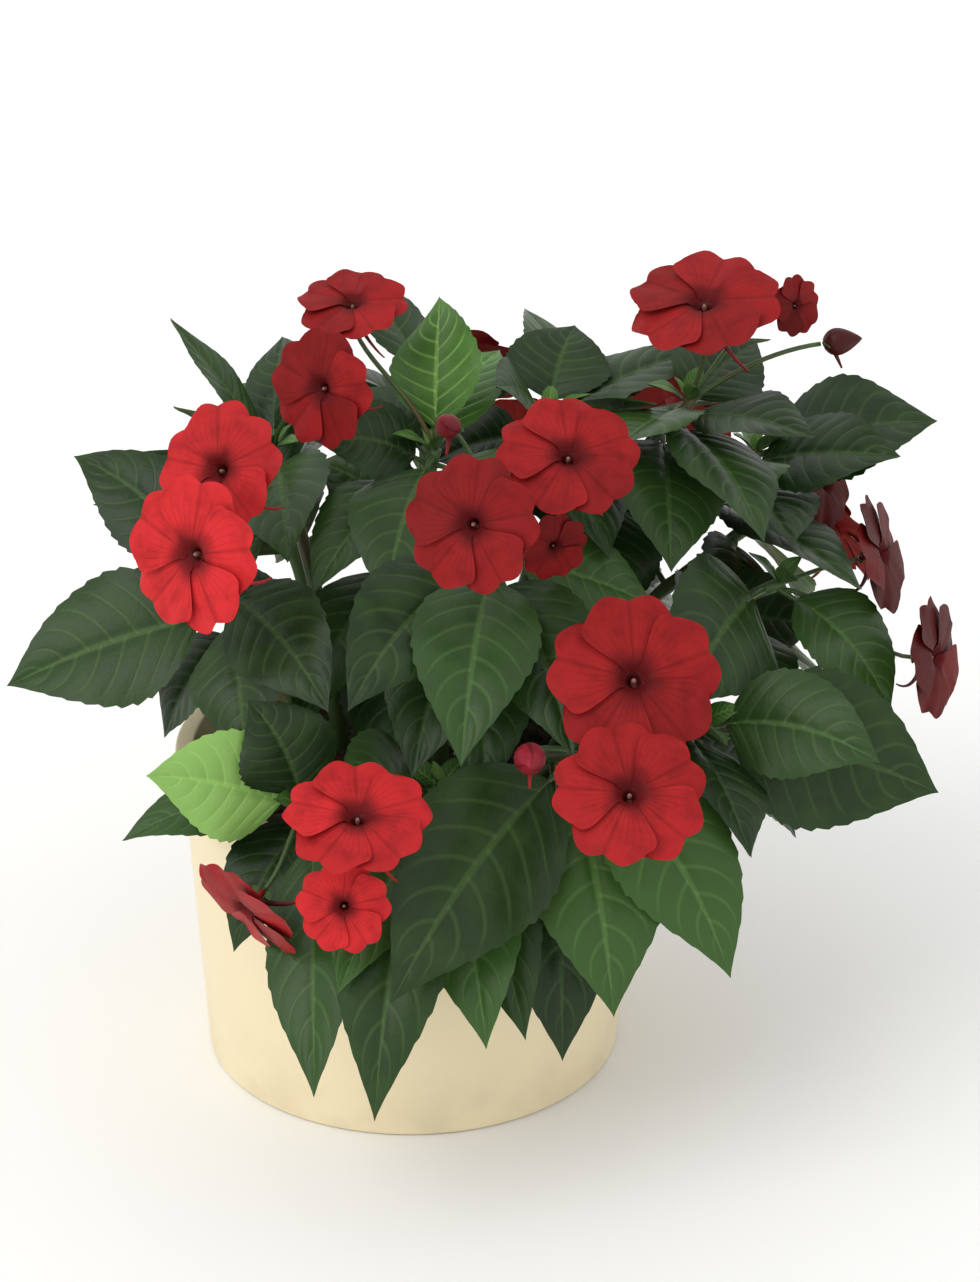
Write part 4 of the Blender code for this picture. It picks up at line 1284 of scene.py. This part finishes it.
def add_leaf(form, blade, look, tone, across=LEAF_ACROSS, along=LEAF_ALONG):
    """A leaf with its stalk."""
    skin = LeafSkin(blade, look)
    for slot in (UPPER_SLOT, UNDER_SLOT):
        form.sheet(across, along, skin.face(slot == UNDER_SLOT), slot, tone)
    points = []
    radii = []
    for i in range(STALK_STEPS + 1):
        u = STALK_SHARE * STALK_INTO_BLADE * i / STALK_STEPS
        centre, _, up = blade.frame(u)
        low = min(u / STALK_SHARE, 1)
        points.append(centre - up * (STALK_RADIUS * 0.75 * low))
        radii.append(STALK_RADIUS * (1.1 - 0.3 * low) * (1 if u < STALK_SHARE else 0.75))
    scale = min(blade.length / FULL_STALK, 1)
    form.stalk(points, [r * scale for r in radii], STALK_ROUND, STEM_SLOT)


def add_tuft(form, shoot, look, draw):
    """The small new leaves at a shoot's tip."""
    tip = curve_point(stem_curve(shoot), 0.985)
    start = draw.uniform(0, 360)
    for k in range(TUFT_LEAVES):
        aim = facing(start + GOLDEN_ANGLE * k, TUFT_RISE - TUFT_DROOP * k)
        size = TUFT_LENGTH + TUFT_LONGER * k
        blade = Blade(tip, tip + aim * size, size * TUFT_WIDTH, 0, 1, LEAF_ARCH, k)
        skin_tone = (0.75 - 0.1 * k, draw.random())
        add_leaf(form, blade, look, skin_tone, TUFT_ACROSS, TUFT_ALONG)


def swollen_radii(points, blades):
    """A stem's radii, thicker at the joints where its leaves leave it."""
    radii = stem_radii(len(points) - 2)
    swollen = []
    for point, radius in zip(points, radii):
        near = [bell((point - blade.curve[0]).length, JOINT_LENGTH) for blade in blades]
        swollen.append(radius * STEM_SLIMMER + JOINT_SWELL * max(near, default=0))
    return swollen


def make_shoot(shoot, blades, look, materials):
    """A leafy shoot with the stalks of its blooms and buds."""
    form = Form()
    draw = random.Random(shoot.name + " fine")
    points = stem_path(shoot, STEM_RINGS)
    form.stalk(points, swollen_radii(points, blades), STEM_ROUND, STEM_SLOT)
    for blade in blades:
        add_leaf(form, blade, look, (blade.young, draw.random()))
    add_tuft(form, shoot, look, draw)
    paths = [bloom_stalk(b, STALK_RINGS) for b in BLOOMS if b.shoot == shoot.name]
    paths += [bud_stalk(b, STALK_RINGS) for b in BUDS if b.shoot == shoot.name]
    for path in paths:
        radii = [PEDICEL_RADIUS * (0.95 - 0.2 * i / STALK_RINGS) for i in range(STALK_RINGS + 1)]
        form.stalk(path, radii, STALK_ROUND, STEM_SLOT)
    return form.finish("shoot_" + shoot.name, "leaf", materials, "leafy_stem_" + shoot.name)


def petal_face(petal, look, below, seed):
    """How a petal's outline, its fold and its ruffled rim are laid."""
    thick = look.thickness / MM

    def place(x, y):
        q = 2 * x - 1
        side = abs(q)
        if side < LOBE:
            reach = PETAL_NOTCH + (1 - PETAL_NOTCH) * math.sin(math.pi * side / (2 * LOBE))
        else:
            reach = 1 - SHOULDER * ((side - LOBE) / (1 - LOBE)) ** 2
        half = CLAW_HALF + BLADE_HALF * eased(y, -0.15, 0.72) - END_NARROWING * eased(y, 0.74, 1)
        r = PETAL_CLAW + (reach - PETAL_CLAW) * y
        wave = math.sin(4.3 * q + seed) + 0.6 * math.sin(8.1 * q + 2.3 * seed)
        lift = look.ruffle * wave * y**3 - 0.018 * bell(q, 0.16) * math.sin(math.pi * min(y, 1))
        sink = -lift * petal.radius
        if below and 0 < y < 1:
            sink += thick * (1 - q**8)
        return petal.point(r, q * half, sink)

    return place


def turned(centre, axis, side, stops):
    """Lays a sheet as a body turned about an axis, one (radius, height) to each row."""
    other = axis.cross(side)

    def place(x, y):
        radius, height = stops[round(y * (len(stops) - 1))]
        a = math.tau * x
        return centre + axis * height + (side * math.cos(a) + other * math.sin(a)) * radius

    return place


def add_sepals(form, back, axis, size, look):
    """Two small green sepals beside a funnel or a bud."""
    side = axis.cross(UP).normalized()
    for way in (1, -1):
        aim = (side * way + axis * 0.35).normalized()
        base = back + aim * 0.6
        blade = Blade(base, base + aim * size, size * SEPAL_WIDTH, 0, 0.4, LEAF_ARCH, way)
        skin = LeafSkin(blade, look)
        for below in (False, True):
            form.sheet(SEPAL_ACROSS, SEPAL_ALONG, skin.face(below), SEPAL_SLOT, SEPAL_TONE)


def make_bloom(bloom, look, leaf_look, materials):
    """A bloom: its petals, funnel, column, spur and sepals."""
    form = Form()
    draw = random.Random(bloom.name + " fine")
    # The bloom's painted shade, the opposite of its painted light, carried in the Tone map to its
    # petals, backs, funnel and spur
    shade = 1 - PAINTED_SUNLIGHT.get(bloom.name, MIDDLE_PAINTED_LIGHT)
    axis = facing(bloom.azimuth, bloom.elevation)
    size = bloom.radius / USUAL_BLOOM
    for number in range(PETALS):
        petal = Petal(bloom, number)
        seed = draw.uniform(0, 6)
        tone = (0, min(max(shade + draw.uniform(-0.12, 0.12), 0), 1))
        for slot in (PETAL_SLOT, BACK_SLOT):
            face = petal_face(petal, look, slot == BACK_SLOT, seed)
            form.sheet(PETAL_ACROSS, PETAL_ALONG, face, slot, tone)
    centre = Vector(bloom.centre)
    side = petal.along
    mouth = MOUTH_DEPTH * size
    funnel = [
        (fixed + bloom.radius * wide, -mouth - (FUNNEL_DEPTH - mouth) * deep)
        for fixed, wide, deep in FUNNEL
    ]
    inside = turned(centre, axis, side, funnel)
    form.sheet(FUNNEL_ROUND, len(funnel) - 1, inside, THROAT_SLOT, (0, shade))
    column = [(radius * size, height * size) for radius, height in COLUMN]
    outside = turned(centre, axis, side, column)
    form.sheet(COLUMN_ROUND, len(column) - 1, outside, COLUMN_SLOT)
    radii = [
        size * (SPUR_START - SPUR_NARROWING * (i / SPUR_STEPS) ** 0.7)
        for i in range(SPUR_STEPS + 1)
    ]
    form.stalk(spur_path(bloom, SPUR_STEPS), radii, STALK_ROUND, THROAT_SLOT, (0, shade))
    add_sepals(form, bloom_back(bloom), axis, SEPAL_LENGTH * size, leaf_look)
    return form.finish("flower_" + bloom.name, "petal", materials, "bloom_" + bloom.name)


def make_bud(bud, leaf_look, materials):
    """A plump pointed bud with its sepals and a short spur."""
    form = Form()
    axis = facing(bud.azimuth, bud.elevation)
    side = axis.cross(UP).normalized()
    stops = []
    for i in range(BUD_ROWS + 1):
        t = i / BUD_ROWS
        fat = math.sin(math.pi * t**0.8) ** 0.75 * (1 - 0.35 * t) * (0 < i < BUD_ROWS)
        stops.append((BUD_FATNESS * bud.length * fat, bud.length * (t - 0.5)))
    centre = Vector(bud.centre)
    # The bud's painted shade, the opposite of its painted light, carried in the Tone map to its
    # body and spur
    tone = (0, 1 - PAINTED_SUNLIGHT.get("bud_" + bud.name, MIDDLE_PAINTED_LIGHT))
    form.sheet(BUD_ROUND, BUD_ROWS, turned(centre, axis, side, stops), PETAL_SLOT, tone)
    back = centre - axis * (bud.length * 0.44)
    add_sepals(form, back, axis, BUD_SEPAL_LENGTH, leaf_look)
    down = (axis * 0.2 - UP).normalized()
    ends = (
        centre - axis * (0.3 * bud.length),
        centre - axis * (0.2 * bud.length) + down * 4.5,
        centre + down * 8.5 - axis * 1.5,
    )
    path = [curve_point(ends, i / BUD_SPUR_STEPS) for i in range(BUD_SPUR_STEPS + 1)]
    radii = [1 - BUD_SPUR_NARROWING * i for i in range(BUD_SPUR_STEPS + 1)]
    form.stalk(path, radii, STALK_ROUND, THROAT_SLOT, tone)
    return form.finish("flower_bud_" + bud.name, "bud", materials, "bud_" + bud.name)


def make_pot(look, material):
    """The pot: a profile spun round, its edges rounded and its drain holes cut."""
    band = POT_HEIGHT - RIM_BAND
    rim = RIM_RADIUS + RIM_PROUD
    profile = (
        (0, 0),
        (BASE_RADIUS, 0),
        (BASE_RADIUS + WALL_SLOPE * band, band),
        (rim - RIM_TAPER, band),
        (rim, POT_HEIGHT),
        (RIM_RADIUS - WALL, POT_HEIGHT),
        (BASE_RADIUS - WALL, FLOOR),
        (0, FLOOR),
    )
    mesh = bmesh.new()
    skin = mesh.loops.layers.uv.new("Skin")
    verts = [mesh.verts.new(Vector((r, 0, z)) * MM) for r, z in profile]
    edges = [mesh.edges.new(pair) for pair in zip(verts, verts[1:])]
    bmesh.ops.spin(mesh, geom=verts + edges, cent=(0, 0, 0), axis=(0, 0, 1),
                   angle=math.tau, steps=POT_ROUND, use_merge=True)
    bmesh.ops.remove_doubles(mesh, verts=mesh.verts, dist=1e-6)
    bmesh.ops.recalc_face_normals(mesh, faces=mesh.faces)
    corners = [edge for edge in mesh.edges
               if len(edge.link_faces) == 2 and edge.calc_face_angle() > math.radians(POT_CORNER)]
    bmesh.ops.bevel(mesh, geom=corners, offset=look.edge, segments=4, profile=0.5,
                    affect="EDGES", material=-1)
    for face in mesh.faces:
        face.smooth = True
        for loop in face.loops:
            place = loop.vert.co / MM
            loop[skin].uv = (math.atan2(place.y, place.x) / math.tau + 0.5, place.z / POT_HEIGHT)
    solid = made("plant_pot", mesh)
    solid.materials.append(material)
    pot = added("plant_pot", solid)
    cut_drains(pot)
    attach(pot, "root")
    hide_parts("pot")
    return pot


def cut_drains(pot):
    """Cuts the drain holes through the pot's floor."""
    solid = pot.data
    drills = bmesh.new()
    for k in range(DRAINS):
        a = math.tau * (k + 0.5) / DRAINS
        at = Vector((DRAIN_RING * math.cos(a), DRAIN_RING * math.sin(a), FLOOR / 2)) * MM
        bmesh.ops.create_cone(drills, cap_ends=True, segments=32, radius1=DRAIN_RADIUS * MM,
                              radius2=DRAIN_RADIUS * MM, depth=4 * FLOOR * MM,
                              matrix=Matrix.Translation(at))
    drill_mesh = made("drills", drills)
    drill = added("drills", drill_mesh)
    cut = pot.modifiers.new("drains", "BOOLEAN")
    cut.operation = "DIFFERENCE"
    cut.object = drill
    graph = bpy.context.evaluated_depsgraph_get()
    drained = bpy.data.meshes.new_from_object(pot.evaluated_get(graph))
    pot.modifiers.clear()
    pot.data = drained
    pot.data.name = "plant_pot"
    bpy.data.meshes.remove(solid)
    bpy.data.objects.remove(drill)
    bpy.data.meshes.remove(drill_mesh)


def make_soil(look, materials):
    """The soil: lumpy on top, with crumbs and a few pale grains."""
    form = Form()
    inner = BASE_RADIUS - WALL - SOIL_GAP
    floor = FLOOR + SOIL_GAP
    edge = inner + WALL_SLOPE * (SOIL_TOP - floor)

    def top(x, y):
        """The height of the lumpy top here."""
        spread = min(math.hypot(x, y) / edge, 1)
        crown = SOIL_CROWN * (1 - spread * spread)
        spot = Vector((x, y, 0))
        lumps = noise.fractal(spot * LUMP_SCALE, 0.7, 2.1, 5) * LUMP_HEIGHT
        lumps += noise.noise(spot * CLOD_SCALE) * CLOD_HEIGHT
        dip = SOIL_DIP * eased(spread, 0.9, 1.0)
        return SOIL_TOP + crown + lumps * eased(spread, 1.0, 0.9) - dip

    def place(x, y):
        a = math.tau * x
        row = round(y * SOIL_RINGS)
        if row == 0:
            return Vector((0, 0, floor))
        if row == 1:
            return Vector((inner * math.cos(a), inner * math.sin(a), floor))
        radius = edge * (SOIL_RINGS - row) / (SOIL_RINGS - 2)
        east = radius * math.cos(a)
        north = radius * math.sin(a)
        return Vector((east, north, top(east, north)))

    form.sheet(SOIL_ROUND, SOIL_RINGS, place, 0)
    draw = random.Random(SOIL_SEED)
    for k in range(look.crumbs + look.grit):
        grit = k >= look.crumbs
        a = draw.uniform(0, math.tau)
        radius = (edge - CRUMB_MARGIN) * math.sqrt(draw.random())
        size = draw.uniform(*(GRIT_SIZES if grit else CRUMB_SIZES))
        at = Vector((radius * math.cos(a), radius * math.sin(a), 0))
        at.z = top(at.x, at.y) + size * 0.35
        turn = Matrix.Rotation(draw.uniform(0, 3), 4, Vector((draw.random(), draw.random(), 1)))
        shape = Matrix.Diagonal((draw.uniform(0.7, 1.4), draw.uniform(0.7, 1.2), 0.8, 1))
        matrix = Matrix.Translation(at * MM) @ turn @ shape
        crumb = bmesh.ops.create_icosphere(
            form.mesh, subdivisions=1, radius=size * MM, matrix=matrix
        )
        for face in {face for vert in crumb["verts"] for face in vert.link_faces}:
            face.smooth = True
            face.material_index = 1 if grit else 0
    return form.finish("potting_soil", "soil", materials, "soil")


def lay_floor(look):
    """A plain pale floor, just under the pot."""
    mesh = bmesh.new()
    bmesh.ops.create_grid(mesh, x_segments=8, y_segments=8, size=FLOOR_SIZE)
    bmesh.ops.translate(mesh, verts=mesh.verts, vec=(0, 0, -FLOOR_DROP))
    floor = added("floor", made("floor", mesh))
    paint = Paint("floor", Roughness=0.9, Specular_IOR_Level=0.1, Base_Color=look.floor)
    floor.data.materials.append(paint.material)


def light_studio(look):
    """Even light from all round, and a soft main light from the camera's upper left."""
    world = bpy.data.worlds.new("studio")
    world.use_nodes = True
    sky = world.node_tree.nodes["Background"]
    sky.inputs["Color"].default_value = (1, 1, 1, 1)
    sky.inputs["Strength"].default_value = look.sky
    bpy.context.scene.world = world
    sun = bpy.data.lights.new("key", "SUN")
    sun.energy = look.key
    sun.angle = math.radians(KEY_SPREAD)
    sun.color = KEY_TINT
    light = added("key", sun)
    way = facing(KEY_AZIMUTH, KEY_ELEVATION)
    light.location = CAMERA_AIM + way
    light.rotation_euler = way.to_track_quat("Z", "Y").to_euler()


def place_camera():
    """A camera straight in front, looking down on the plant as the photograph does."""
    view = bpy.data.cameras.new("camera")
    view.sensor_fit = "VERTICAL"
    view.sensor_height = CAMERA_SENSOR
    view.lens = CAMERA_LENS
    view.clip_start = 0.05
    camera = added("camera", view)
    back = facing(0, CAMERA_ELEVATION)
    camera.location = CAMERA_AIM + back * CAMERA_DISTANCE
    camera.rotation_euler = (-back).to_track_quat("-Z", "Y").to_euler()
    bpy.context.scene.camera = camera
    bpy.context.scene.view_settings.view_transform = "Standard"


class BUSYLIZZIE_OT_pot(Operator):
    """Build the pot"""

    bl_idname = "busylizzie.pot"
    bl_label = "Pot"

    def execute(self, context):
        look = context.scene.busy_lizzie_pot
        make_pot(look, pot_paint(look))
        return {"FINISHED"}


class BUSYLIZZIE_OT_soil(Operator):
    """Build the potting soil"""

    bl_idname = "busylizzie.soil"
    bl_label = "Soil"

    def execute(self, context):
        look = context.scene.busy_lizzie_soil
        make_soil(look, (soil_paint(look), grit_paint()))
        return {"FINISHED"}


class BUSYLIZZIE_OT_shoots(Operator):
    """Build the leafy shoots, each with the stalks of its flowers"""

    bl_idname = "busylizzie.shoots"
    bl_label = "Leafy shoots"

    def execute(self, context):
        look = context.scene.busy_lizzie_leaf
        materials = (leaf_paint(look), under_paint(look), stem_paint(look))
        grown = growth()
        for shoot in SHOOTS:
            make_shoot(shoot, grown[shoot.name], look, materials)
        return {"FINISHED"}


class BUSYLIZZIE_OT_flowers(Operator):
    """Build the open flowers"""

    bl_idname = "busylizzie.flowers"
    bl_label = "Flowers"

    def execute(self, context):
        look = context.scene.busy_lizzie_flower
        leaf_look = context.scene.busy_lizzie_leaf
        materials = (petal_paint(look), petal_back_paint(look), throat_paint(look),
                     column_paint(look), sepal_paint(leaf_look))
        for bloom in BLOOMS:
            make_bloom(bloom, look, leaf_look, materials)
        return {"FINISHED"}


class BUSYLIZZIE_OT_buds(Operator):
    """Build the flower buds"""

    bl_idname = "busylizzie.buds"
    bl_label = "Buds"

    def execute(self, context):
        look = context.scene.busy_lizzie_flower
        leaf_look = context.scene.busy_lizzie_leaf
        sepal = sepal_paint(leaf_look)
        # A bud has no petals' backs and no column, so the sepals' paint fills their slots.
        materials = (bud_paint(look), sepal, throat_paint(look), sepal, sepal)
        for bud in BUDS:
            make_bud(bud, leaf_look, materials)
        return {"FINISHED"}


class BUSYLIZZIE_OT_stage(Operator):
    """Set the floor, the lights and the camera"""

    bl_idname = "busylizzie.stage"
    bl_label = "Stage"

    def execute(self, context):
        look = context.scene.busy_lizzie_stage
        lay_floor(look)
        light_studio(look)
        place_camera()
        return {"FINISHED"}


GROUPS = {
    "busy_lizzie_pot": PotLook,
    "busy_lizzie_soil": SoilLook,
    "busy_lizzie_leaf": LeafLook,
    "busy_lizzie_flower": FlowerLook,
    "busy_lizzie_stage": StageLook,
}
OPERATORS = (
    BUSYLIZZIE_OT_pot,
    BUSYLIZZIE_OT_soil,
    BUSYLIZZIE_OT_shoots,
    BUSYLIZZIE_OT_flowers,
    BUSYLIZZIE_OT_buds,
    BUSYLIZZIE_OT_stage,
)


class VIEW3D_PT_busy_lizzie(Panel):
    """Lists the pieces of the plant with their sizes and colours"""

    bl_label = "Busy Lizzie"
    bl_space_type = "VIEW_3D"
    bl_region_type = "UI"
    bl_category = "Busy Lizzie"

    def draw(self, context):
        for operator in OPERATORS:
            self.layout.operator(operator.bl_idname)
        for name, group in GROUPS.items():
            box = self.layout.box()
            for setting in group.__annotations__:
                box.prop(getattr(context.scene, name), setting)


def register():
    for name, group in GROUPS.items():
        bpy.utils.register_class(group)
        setattr(bpy.types.Scene, name, PointerProperty(type=group))
    for operator in OPERATORS:
        bpy.utils.register_class(operator)
    bpy.utils.register_class(VIEW3D_PT_busy_lizzie)


def unregister():
    bpy.utils.unregister_class(VIEW3D_PT_busy_lizzie)
    for operator in reversed(OPERATORS):
        bpy.utils.unregister_class(operator)
    for name, group in GROUPS.items():
        delattr(bpy.types.Scene, name)
        bpy.utils.unregister_class(group)


def main():
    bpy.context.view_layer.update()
    register()
    bpy.ops.busylizzie.pot()
    bpy.ops.busylizzie.soil()
    bpy.ops.busylizzie.shoots()
    bpy.ops.busylizzie.flowers()
    bpy.ops.busylizzie.buds()
    bpy.ops.busylizzie.stage()


if __name__ == "__main__":
    main()
